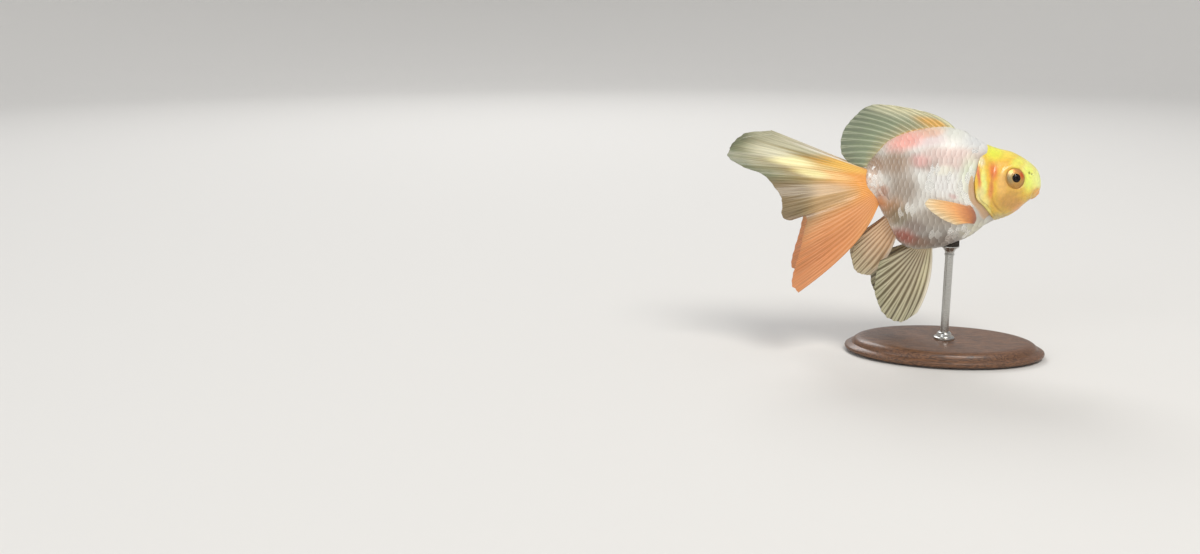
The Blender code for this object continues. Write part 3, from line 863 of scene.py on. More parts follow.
@dataclass(frozen=True)
class ScaleFinish(Finish):
    """Pearly scales: growth rings, painted root shade, painted rim glint and a satin metal glint.
    """

    markings: Markings = Markings()
    # pale free edge, brightened as a painted glint
    rim: str = "fbfaf4"
    # painted shade where a scale comes out from under its neighbour
    root: str = "a89a94"

    def lay(self, wires: Wiring) -> None:
        """Lay the nodes.

        Args:
            wires: the material's wiring.
        """
        marks = self.markings.lay(wires)
        place = wires.in_fish_mm()
        along, across = wires.read("scale_along"), wires.read("scale_across")
        tone, flash = wires.read("scale_tone"), wires.read("scale_flash")
        # The exposed part runs from about half way back to the rim.
        shown = wires.band(along, 0.45, 0.95)
        edge = wires.band(along, 0.90, 0.985)
        bright = wires.math("ADD", wires.times(tone, 0.06), 0.95)
        colour = wires.mix(1.0, marks, bright, "MULTIPLY")
        # painted shade towards the covered root, weaker on the upper body
        plain = wires.band(wires.split(place)[2], 14.0, 24.0, 1.0, 0.25)
        deep = wires.times(wires.math("SUBTRACT", 1.0, shown), 0.42)
        colour = wires.mix(wires.times(deep, plain), colour, shade(self.root), "MULTIPLY")
        # painted glint along the free edge
        colour = wires.tint(colour, edge, 0.35, self.rim)
        # flashing scales painted near-white: a painted glint over their metal sheen
        colour = wires.tint(colour, flash, 0.75, self.rim)
        fine = wires.noise(place, 1.5, 1.5)
        rings = wires.math("SINE", wires.times(along, 95.0))
        ribs = wires.math("SINE", wires.times(across, 34.0))
        rough_share = wires.math("SUBTRACT", 1.0, wires.times(flash, 0.85))
        height = wires.math("ADD", wires.times(rings, 0.22),
                            wires.math("ADD", wires.times(ribs, 0.12),
                                       wires.times(fine, rough_share)))
        rough = wires.math("SUBTRACT", wires.band(fine, 0.3, 0.75, 0.40, 0.54),
                           wires.times(flash, 0.22))
        metal = wires.math("ADD", 0.06, wires.times(flash, 0.45))
        wires.principled(colour, rough, wires.bump(height, 0.05, 0.8), Metallic=metal,
                         Coat_Weight=0.22, Coat_Roughness=0.32, Specular_IOR_Level=0.45)


@dataclass(frozen=True)
class FinFinish(Finish):
    """Thin fin: opaque rays in a clearer membrane; places are (across, along) shares."""

    along: tuple[tuple[float, str], ...] = ()
    patches: tuple[Patch, ...] = ()
    ray: str = "e9e6d0"
    ray_strength: float = 0.5
    # colour of the painted shade in the grooves between rays
    groove: str = "8c8068"
    groove_strength: float = 0.3
    opacity: tuple[Pair, ...] = ((0.0, 1.0), (0.5, 0.85), (1.0, 0.6))
    ray_opacity: float = 0.3
    streaks: float = 130.0

    def lay(self, wires: Wiring) -> None:
        """Lay the nodes.

        Args:
            wires: the material's wiring.
        """
        uv = wires.add("ShaderNodeUVMap", uv_map="FinMap").outputs[0]
        ray, groove = wires.read("ray"), wires.read("groove")
        streak = wires.noise(wires.stretched(uv, (self.streaks, 5.0, 1.0)), 1.0, 4.0, 0.6)
        cloud = wires.noise(wires.in_fish_mm(), 0.12, 3.0)
        drift = wires.times(wires.math("SUBTRACT", cloud, 0.5), 0.22)
        reach = wires.math("ADD", wires.split(uv)[1], drift)
        colour = wires.painted(uv, wires.ramp(reach, self.along), self.patches)
        # painted shade in the grooves between rays
        colour = wires.tint(colour, groove, self.groove_strength, self.groove)
        colour = wires.tint(colour, ray, self.ray_strength, self.ray)
        colour = wires.mix(1.0, colour, wires.band(streak, 0.25, 0.8, 0.88, 1.06), "MULTIPLY")
        clear = wires.ramp(reach, self.opacity)
        clear = wires.math("ADD", clear, wires.times(ray, self.ray_opacity))
        clear = wires.math("ADD", clear, wires.band(streak, 0.2, 0.8, -0.10, 0.10), clamp=True)
        height = wires.math("ADD", wires.times(ray, 0.6), streak)
        wires.principled(colour, wires.band(streak, 0.2, 0.8, 0.34, 0.50),
                         wires.bump(height, 0.12, 0.6), Alpha=clear, Coat_Weight=0.25,
                         Coat_Roughness=0.22, Specular_IOR_Level=0.45)


@dataclass(frozen=True)
class EyeFinish(Finish):
    """Iris of streaked gold and orange round a dark lens; EyeMap is flat, in mm."""

    iris: tuple[str, str] = ("c69a58", "ecb466")
    patches: tuple[Patch, ...] = (
        Patch((-3.6, 0.4), (4.0, 4.4), "b6a478", 0.95),
        Patch((3.9, 2.6), (2.6, 3.4), "ea6430", 0.95, -20.0),
        Patch((-0.4, 4.2), (4.4, 1.8), "eaa25c", 0.8),
        Patch((0.0, -4.6), (4.6, 1.8), "d6a256", 0.8))
    speck: str = "94622e"
    ring: str = "e8b860"
    ring_radius: float = 2.72
    rim: str = "dba458"
    lens: str = "150a06"

    def lay(self, wires: Wiring) -> None:
        """Lay the nodes.

        Args:
            wires: the material's wiring.
        """
        flat = wires.add("ShaderNodeUVMap", uv_map="EyeMap").outputs[0]
        radius, lens = wires.read("eye_radius"), wires.read("eye_lens")
        swirl = wires.noise(flat, 0.55, 3.0, 0.6)
        gold = wires.mix(swirl, shade(self.iris[0]), shade(self.iris[1]))
        iris = wires.painted(flat, gold, self.patches)
        specks = wires.noise(flat, 3.2, 3.0, 0.7)
        iris = wires.mix(wires.band(specks, 0.45, 0.62, 0.0, 0.3), iris, shade(self.speck))
        off_ring = wires.math("ABSOLUTE", wires.math("SUBTRACT", radius, self.ring_radius))
        iris = wires.mix(wires.band(off_ring, 0.26, 0.05, 0.0, 0.45), iris, shade(self.ring))
        iris = wires.mix(wires.band(radius, 4.7, 5.8, 0.0, 0.85), iris, shade(self.rim))
        colour = wires.mix(lens, iris, shade(self.lens))
        rough = wires.math("SUBTRACT", 0.32, wires.times(lens, 0.22))
        outside = wires.math("SUBTRACT", 1.0, lens)
        metal = wires.times(outside, 0.45)
        height = wires.times(outside, specks)
        wires.principled(colour, rough, wires.bump(height, 0.08, 0.6), Metallic=metal,
                         Specular_IOR_Level=0.22)


@dataclass(frozen=True)
class CorneaFinish(Finish):
    """Clear cover of the eye: it lets light straight through and mirrors at its face."""

    index: float = 1.2

    def lay(self, wires: Wiring) -> None:
        """Lay the nodes.

        Args:
            wires: the material's wiring.
        """
        share = wires.add("ShaderNodeFresnel", {"IOR": self.index})
        clear = wires.add("ShaderNodeBsdfTransparent")
        mirror = wires.add("ShaderNodeBsdfGlossy", {"Roughness": 0.04})
        wires.surface(wires.add("ShaderNodeMixShader", {
            0: share.outputs[0], 1: clear.outputs[0], 2: mirror.outputs[0]}))


@dataclass(frozen=True)
class WalnutFinish(Finish):
    """Oiled walnut with grain along Y."""

    dark: str = "3a2417"
    light: str = "7d5537"
    pore: str = "22140c"

    def lay(self, wires: Wiring) -> None:
        """Lay the nodes.

        Args:
            wires: the material's wiring.
        """
        place = wires.in_fish_mm()
        rings = wires.noise(wires.stretched(place, (0.34, 0.022, 0.34)), 1.0, 5.0, 0.62)
        bands = wires.math("SINE", wires.times(rings, 60.0))
        pores = wires.noise(wires.stretched(place, (4.0, 0.16, 4.0)), 1.0, 3.0, 0.7)
        colour = wires.mix(wires.band(bands, -1.0, 1.0, 0.15, 0.95), shade(self.dark),
                           shade(self.light))
        colour = wires.mix(wires.band(pores, 0.62, 0.74, 0.0, 0.55), colour, shade(self.pore))
        height = wires.math("SUBTRACT", wires.times(bands, 0.25), pores)
        wires.principled(colour, wires.band(pores, 0.3, 0.7, 0.34, 0.50),
                         wires.bump(height, 0.12, 0.5), Coat_Weight=0.3, Coat_Roughness=0.22)


@dataclass(frozen=True)
class SteelFinish(Finish):
    """Brushed steel with fine turning lines."""

    colour: str = "c9c8c4"
    dull: str = "aeada9"
    lines: Triple = (0.6, 0.6, 9.0)

    def lay(self, wires: Wiring) -> None:
        """Lay the nodes.

        Args:
            wires: the material's wiring.
        """
        brushed = wires.noise(wires.stretched(wires.in_fish_mm(), self.lines), 1.0, 4.0, 0.6)
        colour = wires.mix(wires.band(brushed, 0.2, 0.8), shade(self.dull), shade(self.colour))
        wires.principled(colour, wires.band(brushed, 0.2, 0.8, 0.20, 0.36),
                         wires.bump(brushed, 0.03, 0.5), Metallic=1.0)


@dataclass(frozen=True)
class PadFinish(Finish):
    """Matt grey-brown felt or rubber that touches what it carries."""

    colour: str = "4c4640"
    dark: str = "37322d"

    def lay(self, wires: Wiring) -> None:
        """Lay the nodes.

        Args:
            wires: the material's wiring.
        """
        fibre = wires.noise(wires.in_fish_mm(), 3.0, 4.0, 0.7)
        colour = wires.mix(wires.band(fibre, 0.3, 0.7), shade(self.dark), shade(self.colour))
        wires.principled(colour, 0.9, wires.bump(fibre, 0.2, 0.8), Specular_IOR_Level=0.2)


@dataclass(frozen=True)
class FloorFinish(Finish):
    """Plain pale paper."""

    colour: str = "dcdad6"

    def lay(self, wires: Wiring) -> None:
        """Lay the nodes."""
        wires.principled(shade(self.colour), 0.85, Specular_IOR_Level=0.2)


# ---- skin ----
@dataclass
class EyePlace:
    """Where an eye sits and how it is shaped, on the left side."""

    form: BodyForm
    y: float = -31.4
    z: float = 3.2
    radius: float = 6.1
    half_depth: float = 4.6
    sink: float = 2.0  # centre of the eyeball below the skin

    @property
    def normal(self) -> Array:
        """The way the eye looks."""
        return self.form.flank_normal(self.y, self.z)

    @property
    def on_skin(self) -> Array:
        """The place on the skin over the eye's centre."""
        return np.array((self.form.flank_x(self.y, self.z), self.y, self.z))


@dataclass(frozen=True)
class Swell:
    """A soft rise of the skin: its height, its (y, z) middle and its reach each way."""

    height: float
    middle: Pair
    reach: Pair

    def over(self, y: Array, z: Array) -> Array:
        """How far it lifts each place."""
        (y0, z0), (wide, tall) = self.middle, self.reach
        return self.height * bell(y - y0, wide) * bell(z - z0, tall)


@dataclass(frozen=True)
class Crease:
    """A crease along a path of (y, z) points, a soft ridge beside it and painted shade in it."""

    path: tuple[Pair, ...]
    depth: float
    width: float
    ridge: float
    tint: float  # how strongly painted shade darkens it
    least_x: float  # it ends this near the middle plane


@dataclass(frozen=True)
class LipLine:
    """A roll or a groove along the mouth: its height, its distance and its width."""

    height: float
    distance: float  # from the mouth's line, below it negative
    width: float

    def over(self, away: Array, share: Array) -> Array:
        """How much of it each place gets, 0 to 1."""
        return bell(away - self.distance, self.width) * share


@dataclass
class FishSkin:
    """One skin for the head, the trunk, the tail stem and the gill covers."""

    form: BodyForm
    eye: EyePlace
    finish: Finish
    sides: int = 264
    snout_rows: int = 56
    head_rows: int = 96
    slit_rows: int = 34
    trunk_rows: int = 56
    stem_rows: int = 14
    end_rows: int = 9
    stem_join: float = 40.0  # where the trunk's rows give way to the tail stem's
    depth_head: float = 0.1  # below the solid body, where the skin is bare
    collar_depth: float = 0.34  # the same for the bare skin behind the gill cover
    slit_start: float = -1.6  # the rows of the gill slit begin this far ahead of its line
    slit_end: float = 3.2
    # The gill slit in section, from ahead to behind: (along, height over the solid body).
    open_slit: tuple[Pair, ...] = (
        (-1.6, 0.34), (-0.8, 0.42), (-0.2, 0.43), (0.2, 0.34), (0.36, 0.16), (0.26, -0.02),
        (-0.1, -0.16), (-0.45, -0.42), (-0.5, -0.66), (-0.1, -0.76), (0.6, -0.62),
        (1.8, -0.40), (3.2, -0.34))
    shut_slit: tuple[Pair, ...] = (
        (-1.6, -0.1), (-1.1, -0.08), (-0.7, -0.08), (-0.35, -0.12), (-0.1, -0.2), (0.1, -0.34),
        (0.3, -0.45), (0.55, -0.53), (0.85, -0.58), (1.2, -0.60), (1.7, -0.61), (2.4, -0.58),
        (3.2, -0.56))
    lid_radius: float = 5.82  # where the skin meets the eyeball
    lid_height: float = -0.38  # over the plane that touches the skin there
    mouth_half_width: float = 4.0
    mouth_z: float = -7.5
    mouth_droop: float = 0.10  # how fast its line falls towards the corners
    mouth_samples: int = 61
    gape: float = 0.42
    gape_depth: float = 1.3
    upper_lip: LipLine = LipLine(0.42, 1.15, 0.72)
    lower_lip: LipLine = LipLine(0.44, -1.1, 0.70)
    groove_over: LipLine = LipLine(-0.30, 2.55, 0.38)
    groove_under: LipLine = LipLine(-0.24, -2.6, 0.42)
    cover_lift: float = 0.55  # how far the gill cover's free edge stands off
    cover_dome: Swell = Swell(0.45, (-15.0, 0.5), (3.6, 9.0))
    cheek: Swell = Swell(0.4, (-28.0, -8.5), (7.0, 5.0))
    brow: Swell = Swell(0.35, (-31.5, 11.0), (6.0, 2.2))
    tail_fold: Swell = Swell(1.0, (41.3, -13.5), (2.6, 3.0))
    cover_crease: Crease = Crease(
        ((-19.8, 13.0), (-18.4, 6.5), (-17.9, 0.5), (-18.3, -5.5), (-19.8, -11.0),
         (-23.6, -15.2), (-29.0, -17.6)), 0.34, 0.60, 0.12, 0.5, 6.0)
    plate_edge: Crease = Crease(
        ((-10.4, -8.4), (-13.4, -11.7), (-16.4, -14.6), (-20.3, -19.3)), 0.50, 0.32, 0.12,
        1.0, 6.0)
    cheek_edge: Crease = Crease(
        ((-41.6, -10.6), (-38.0, -13.4), (-32.0, -17.6), (-25.5, -20.4)), 0.34, 0.6, 0.1,
        0.4, 3.0)
    mouth_corner: Crease = Crease(
        ((-45.2, -3.6), (-43.0, -5.2), (-42.4, -8.0), (-43.2, -10.6)), 0.22, 0.5, 0.06,
        0.35, 3.4)
    throat_folds: tuple[float, ...] = (-2.8, -5.6)  # from the gill line, ahead negative
    throat_fold_depth: float = 0.16
    # Pits of the nostril: (y, z) and radius.
    nostrils: tuple[tuple[Pair, float], ...] = (
        ((-41.2, 5.0), 0.62), ((-39.8, 5.7), 0.75))
    socket: Pair = (6.1, 9.6)  # the eye's ring holds the skin up to here
    socket_slope: float = 0.12  # how fast the skin falls away outside the lid
    socket_drop: float = 4.2  # how deep it drops inside the lid
    orbit_radius: float = 8.8  # of the shallow groove round the ring

    def opening(self, turn: Array) -> Array:
        """How open the gill slit is: 1 over the flank, 0 at the nape and the throat."""
        folded = degrees_from_back(turn)
        return ease(folded, 34.0, 54.0) * (1 - 0.75 * ease(folded, 132.0, 172.0))

    def bareness(self, turn: Array) -> Array:
        """Where bare skin shows behind the gill cover: 1 over the flank, 0 elsewhere."""
        folded = degrees_from_back(turn)
        return ease(folded, 58.0, 76.0) * (1 - ease(folded, 128.0, 146.0))

    def rows(self) -> tuple[Array, Array]:
        """Nominal places of the rows, and each slit row's share through the slit or -1.

        Returns:
            The places and the shares.
        """
        form = self.form
        rounding = 1 - np.cos(np.linspace(0, 0.5 * math.pi, self.snout_rows))
        snout = form.snout_y + form.snout_rounding * rounding
        head_end = form.gill_ring + self.slit_start
        head = np.linspace(snout[-1], head_end, self.head_rows)[1:-1]
        slit = np.linspace(0.0, 1.0, self.slit_rows)
        trunk = np.linspace(form.gill_ring + self.slit_end, self.stem_join, self.trunk_rows)[1:]
        stem_start = form.stem_end_y - form.stem_rounding
        stem = np.linspace(self.stem_join, stem_start, self.stem_rows)[1:]
        rounding = 1 - np.cos(np.linspace(0.5 * math.pi, 0.0, self.end_rows))
        end = form.stem_end_y - form.stem_rounding * rounding[1:]
        nominal = np.concatenate([snout, head, np.full(len(slit), form.gill_ring), trunk, stem,
                                  end])
        share = np.full(len(nominal), -1.0)
        first = len(snout) + len(head)
        share[first:first + len(slit)] = slit
        return nominal, share

    def coat_depth(self, nominal: Array) -> Array:
        """How far the skin lies below the solid body, under the scales."""
        return smooth_between((-12.0, 10.0, 30.0, 44.0, 52.0), (0.56, 0.58, 0.50, 0.40, 0.33),
                              nominal)

    def collar_at(self, past_gill: Array, turn: Array) -> Array:
        """How much of a place is the bare collar behind the gill cover, 0 to 1."""
        return self.bareness(turn) * (1 - ease(past_gill, 3.4, 5.8))

    def follow(self, nominal: Array, turn: Array) -> Array:
        """Place of each row at a turn: rows near the gill line bend to follow it.

        Args:
            nominal: nominal places of the rows.
            turn: turn of each point.

        Returns:
            Where each point lies along the body.
        """
        form = self.form
        ahead = 1 - (form.gill_ring + self.slit_start - nominal) / form.bend_ahead
        behind = 1 - (nominal - form.gill_ring - self.slit_end) / form.bend_behind
        pull = np.clip(np.where(nominal < form.gill_ring, ahead, behind), 0.0, 1.0)
        return nominal + pull * (form.gill_line(turn) - form.gill_ring)

    def mouth_distance(self, points: Array) -> Array:
        """Distance from the mouth's line, below it negative.

        Args:
            points: the skin's points.

        Returns:
            The distances in millimetres.
        """
        x = np.linspace(-self.mouth_half_width, self.mouth_half_width, self.mouth_samples)
        z = self.mouth_z - self.mouth_droop * x * x
        line = np.stack([x, self.form.front_y(x, z), z], axis=1)
        away = np.full(len(points), 99.0)
        # Only the snout is near enough to be measured.
        near = np.flatnonzero((points[:, 1] < -38.0) & (points[:, 2] < 4.0))
        gaps = np.linalg.norm(points[near, None, :] - line[None], axis=2)
        nearest = gaps.argmin(axis=1)
        over = points[near, 2] > line[nearest, 2]
        away[near] = np.where(over, 1.0, -1.0) * gaps[np.arange(len(near)), nearest]
        return away

    def relief(self, points: Array, normals: Array, past_gill: Array, opening: Array
               ) -> tuple[Array, dict[str, Array]]:
        """The head's folds, plates, lips and nostrils.

        Args:
            points: the plain skin's points.
            normals: its outward directions there.
            past_gill: distance behind the gill line.
            opening: how open the gill slit is there.

        Returns:
            The move of each point, and the colour masks by attribute name, painted shade among
            them.
        """
        x, y, z = np.abs(points[:, 0]), points[:, 1], points[:, 2]
        flat = np.stack([y, z], axis=1)
        on_head = 1 - ease(past_gill, -0.5, 0.5)
        rise = np.zeros(len(points))
        crease = np.zeros(len(points))

        def press(line: Crease, fade: Array | float = 1.0) -> None:
            """Press a crease into the skin and paint shade along it.

            Args:
                line: the crease.
                fade: share of it that each point gets.
            """
            nonlocal rise, crease
            away = distance_to(line.path, flat)
            inner = ease(x, line.least_x, line.least_x + 1.5)
            here = bell(away, line.width) * inner * on_head * fade
            beside = bell(away - 2.2 * line.width, 1.4 * line.width) * on_head * fade
            rise = rise - line.depth * here + line.ridge * beside
            # painted shade along the crease
            crease = np.maximum(crease, line.tint * here)

        # Gill cover: it domes and stands off towards its free edge.
        rise += self.cover_lift * ease(past_gill, -9.5, -1.6) * opening * on_head
        rise += self.cover_dome.over(y, z) * on_head
        # Crease ahead of the gill cover, and the edge of the lower plate below it.
        press(self.cover_crease, (1 - ease(z, 5.0, 11.0)) * ease(y, -30.0, -20.5))
        press(self.plate_edge)
        # Cheek, its lower edge, and the folds of the throat.
        rise += self.cheek.over(y, z) * on_head
        press(self.cheek_edge)
        throat = ease(-z, 15.0, 20.0) * ease(y, -34.0, -29.0)
        for place in self.throat_folds:
            line = bell(past_gill - place, 0.6) * throat * on_head
            rise -= self.throat_fold_depth * line
            # painted shade along the throat folds
            crease = np.maximum(crease, 0.3 * line)
        # Brow, and the groove behind the corner of the mouth.
        rise += self.brow.over(y, z) * on_head
        press(self.mouth_corner)

        # Nostrils: a front pit, a flap and a rear pit, with painted shade in the pits.
        inside = np.zeros(len(points))
        for (py, pz), radius in self.nostrils:
            away = np.hypot(y - py, z - pz)
            pit = (1 - ease(away, 0.35 * radius, 1.25 * radius)) * ease(x, 3.0, 5.0)
            rise -= 0.9 * pit
            inside = np.maximum(inside, 0.75 * pit)
        rim = bell(np.hypot(y + 40.5, z - 5.35) - 1.75, 0.45) * ease(x, 3.0, 5.0)
        rise += 0.22 * rim + 0.4 * bell(np.hypot((y + 40.55) * 1.6, z - 5.4), 0.42)

        # Mouth: lips round a narrow gape, painted dark inside, partly as shade.
        away = self.mouth_distance(points)
        reach = np.abs(points[:, 0])
        half = self.gape * np.sqrt(np.clip(1 - (reach / self.mouth_half_width) ** 2, 0.0, 1.0))
        gap = 1 - ease(np.abs(away), 0.6 * half, half + 0.40)
        gap *= 1 - ease(reach, self.mouth_half_width - 0.3, self.mouth_half_width + 0.2)
        lip_end = 1 - ease(reach, 4.2, 6.4)
        lines = (self.upper_lip, self.lower_lip, self.groove_over, self.groove_under)
        upper, lower, over, under = shares = [line.over(away, lip_end) for line in lines]
        rise += sum(line.height * share for line, share in zip(lines, shares))
        rise -= self.gape_depth * gap
        # painted shade in the grooves over and under the lips
        crease = np.maximum(crease, 0.55 * np.maximum(over, under))
        lips = np.clip(0.75 * np.maximum(upper, lower) + 0.3 * gap, 0.0, 1.0)
        inside = np.maximum(inside, ease(gap, 0.3, 0.8))

        # Soft swell of the bare fold ahead of the tail.
        rise += self.tail_fold.over(y, z) * (1 - on_head)
        moves = normals * rise[:, None]

        # Eye socket: the skin comes up to the eyeball in a soft ring and drops inside it.
        look = self.eye.normal
        flip = np.where(points[:, :1] < 0, MIRROR, 1.0)
        offset = np.stack([x, y, z], axis=1) + moves * flip - self.eye.on_skin
        height = offset @ look
        radius = np.linalg.norm(offset - height[:, None] * look, axis=1)
        near = np.abs(height) < 6.0
        hold = (1 - ease(radius, *self.socket)) * near
        lid = self.lid_height + self.socket_slope * np.clip(radius - self.lid_radius, 0.0, 9.0)
        inner = 1 - ease(radius, self.lid_radius - 0.9, self.lid_radius)
        lift = hold * (lid - self.socket_drop * inner - height)
        moves += lift[:, None] * look * flip
        orbit = bell(radius - self.orbit_radius, 1.0) * near
        moves -= 0.12 * orbit[:, None] * normals
        # painted shade in a thin ring round the lid
        crease = np.maximum(crease, 0.12 * bell(radius - 5.5, 0.7) * near)
        return moves, {"crease": crease, "lips": lips, "inside": inside}

    def build(self) -> None:
        """Lay a sheet round the body, shape it and close it."""
        nominal, slit = self.rows()
        skin, around, along = add_sheet("fish_skin", self.sides, len(nominal) - 1, "OFBake")
        turn = 2 * math.pi * around
        row = np.rint(along * (len(nominal) - 1)).astype(int)
        share = np.maximum(slit[row], 0.0)
        in_slit = slit[row] >= 0
        opening = self.opening(turn)
        opened, shut = curve_through(self.open_slit, share), curve_through(self.shut_slit, share)
        section = shut + opening[:, None] * (opened - shut)
        y = self.follow(nominal[row], turn)
        line = self.form.gill_line(turn)
        y = np.where(in_slit, line + section[:, 0], y)
        past_gill = y - line
        behind = nominal[row] > self.form.gill_ring
        collar = self.collar_at(past_gill, turn)
        under = self.coat_depth(nominal[row]) * (1 - collar) + self.collar_depth * collar
        plain = np.where(behind, -under, -self.depth_head)
        height = np.where(in_slit, section[:, 1], plain)
        base, normals = self.form.point(y, turn), self.form.normal(y, turn)
        for last, way in ((row == 0, -1.0), (row == len(nominal) - 1, 1.0)):
            normals[last] = (0.0, way, 0.0)
        moves, masks = self.relief(base, normals, past_gill, opening)
        moves[in_slit & (share > 0.0)] = 0.0
        set_points(skin, base + normals * height[:, None] + moves)
        # painted shade deep in the open gill slit
        deep = ease(share, 0.42, 0.58) * (1 - ease(share, 0.72, 0.86)) * in_slit * opening
        masks["inside"] = np.maximum(masks["inside"], 0.5 * deep)
        masks["collar"] = ease(past_gill, 0.2, 0.9) * collar
        note(skin, "past_gill", past_gill)
        for name, values in masks.items():
            note(skin, name, values)
        in_edit_mode(skin, lambda: bpy.ops.mesh.remove_doubles(threshold=1e-6))
        face_outwards(skin)
        hand_over(skin, self.finish, "head_skin", "head", "trunk", "tail_stem",
                  "gill_cover_right", "gill_cover_left", sharp=180.0)


# ---- scales ----
@dataclass
class ScaleCoat:
    """Overlapping scales, in rows along the body whose neighbours are half a step apart."""

    form: BodyForm
    skin: FishSkin
    finish: Finish
    row_count: int = 38  # all round the body
    first_column: float = -14.4
    last_column: float = 50.2
    overlap: float = 2.3  # a scale's length in steps
    slope: float = 0.068  # how fast a scale rises off the skin
    thickness: float = 0.07
    dome: float = 0.08
    half_width: float = 0.99  # in row spacings
    patch_size: float = 0.003  # a scale's share of the bake map
    map_start: float = -20.0  # the nominal places that the bake map spans
    map_length: float = 80.0
    shown_middle: float = 0.7  # middle of a scale's shown part, as a share of its length
    first_root: float = -3.0  # from the gill line's ring, where no skin is bare
    bare_reach: float = 3.4  # how much farther back scales start where it is
    deepest_y: float = 8.0  # rows are evenly spaced round the body here
    turn_samples: int = 721
    root_sink: float = 0.06  # how far a scale's root lies below the skin
    unlike: Triple = (0.03, 0.02, 0.006)  # how much length, width and slope differ
    # A place that stays bare, ahead of the tail: middle (y, z) and reach (y, z).
    bare_fold: tuple[float, float, float, float] = (41.0, -13.6, 3.8, 4.4)
    # Where scales flash: (y, z, reach along, reach up, share of them that do).
    glints: tuple[tuple[float, ...], ...] = (
        (48.0, -0.5, 5.6, 6.2, 0.9), (19.5, 5.0, 7.5, 3.4, 0.7), (24.0, -17.0, 3.6, 3.2, 0.5),
        (-5.0, 1.0, 5.0, 9.0, 0.6), (0.0, -29.0, 12.0, 4.0, 0.5), (8.0, -2.0, 12.0, 8.0, 0.35))
    template_columns: int = 5
    template_rows: int = 4

    def step(self, nominal: Array) -> Array:
        """Distance from one scale to the next along a row."""
        return smooth_between((-14.0, 0.0, 14.0, 30.0, 42.0, 50.0),
                              (2.6, 2.9, 2.9, 2.5, 1.9, 1.6), nominal)

    def columns(self) -> Array:
        """Nominal places of the scales' roots.

        Returns:
            The places, rising.
        """
        places = [self.first_column]
        while places[-1] < self.last_column:
            places.append(places[-1] + float(self.step(np.asarray(places[-1]))))
        return np.array(places)

    def row_turns(self) -> tuple[Array, Array]:
        """Turn for each row number, so that rows are evenly spaced round the deepest part.

        Returns:
            Row numbers and the turn of each.
        """
        turns = np.linspace(0.0, 2 * math.pi, self.turn_samples)
        ring = self.form.point(np.full(len(turns), self.deepest_y), turns)
        steps = np.linalg.norm(np.diff(ring, axis=0), axis=1)
        length = np.concatenate([[0.0], np.cumsum(steps)])
        return length / length[-1] * self.row_count, turns

    def template(self) -> tuple[Array, list[tuple[int, ...]]]:
        """One scale, thin and domed, with its rim turned down.

        Returns:
            Its (along 0 to 1, across -1 to 1, height in mm) points, and its faces.
        """
        scale, across, along = add_sheet("one_scale", self.template_columns,
                                         self.template_rows, "Plan")
        u, v = 2 * across - 1, 2 * along - 1
        plan_v, plan_u = v * np.sqrt(1 - 0.5 * u * u), u * np.sqrt(1 - 0.5 * v * v)
        rear = 0.5 * (plan_v + 1)
        dome = self.dome * (1 - plan_u ** 2) * ease(rear, 0.0, 0.5)
        lip = -0.05 * ease(rear, 0.86, 1.0)
        flat = np.stack([rear, plan_u, dome + lip], axis=1)
        scale.data.vertices.foreach_set("co", flat.astype(np.float32).ravel())
        scale.data.update()
        apply_modifier(scale, "SOLIDIFY", thickness=self.thickness, offset=1.0,
                       use_rim=True, use_even_offset=False)
        points = points_of(scale)
        faces = [tuple(face.vertices) for face in scale.data.polygons]
        bpy.data.objects.remove(scale, do_unlink=True)
        return points, faces

    def is_bare(self, y: float, z: float) -> bool:
        """Whether the skin shows instead of a scale."""
        middle_y, middle_z, reach_y, reach_z = self.bare_fold
        return bool(((y - middle_y) / reach_y) ** 2 + ((z - middle_z) / reach_z) ** 2 < 1.0)

    def glitter(self, y: float, z: float) -> float:
        """Chance that a scale flashes at a place."""
        return max(float(share * bell(y - y0, wide) * bell(z - z0, tall))
                   for y0, z0, wide, tall, share in self.glints)

    def build(self, side: Side) -> None:
        """All the scales of one side as one joined mesh.

        Args:
            side: the side that they cover.
        """
        template, faces = self.template()
        row_places, turns = self.row_turns()
        columns = self.columns()
        random = np.random.default_rng(SEED + side.value)
        half = self.row_count // 2
        rows = range(half) if side is Side.LEFT else range(half, self.row_count)
        points, marks, uvs = [], [], []
        for row in rows:
            for root in columns:
                root = root + 0.5 * float(self.step(np.asarray(root))) * (row % 2)
                middle_row = row + 0.5
                step = float(self.step(np.asarray(root)))
                turn = np.interp(middle_row, row_places, turns)
                nominal = root + self.overlap * step * self.shown_middle
                bareness = float(self.skin.bareness(np.asarray(turn)))
                start = self.bare_reach * bareness + self.first_root
                past = root - self.form.gill_ring
                if nominal > self.form.stem_end_y - 0.4 or past < start:
                    continue
                y = self.place(np.asarray(nominal), np.asarray(turn))
                centre = self.form.point(y, np.asarray(turn))
                if self.is_bare(centre[1], centre[2]):
                    continue
                made = self.lay_scale(template, root, step, middle_row, row_places, turns,
                                      random.normal(0.0, 1.0, 3))
                points.append(made)
                glitter = self.glitter(centre[1], centre[2])
                flash = float(random.random() < glitter) * random.uniform(0.45, 1.0)
                marks.append((random.uniform(-1.0, 1.0), flash))
                uvs.append((middle_row / self.row_count,
                            (root - self.map_start) / self.map_length))
        self.join(side, template, faces, np.array(points), np.array(marks), np.array(uvs))

    def place(self, nominal: Array, turn: Array) -> Array:
        """Place along the body of a nominal place, bent with the gill line."""
        pull = np.clip(1 - (nominal - self.form.gill_ring) / self.form.bend_behind, 0.0, 1.0)
        return nominal + pull * (self.form.gill_line(turn) - self.form.gill_ring)

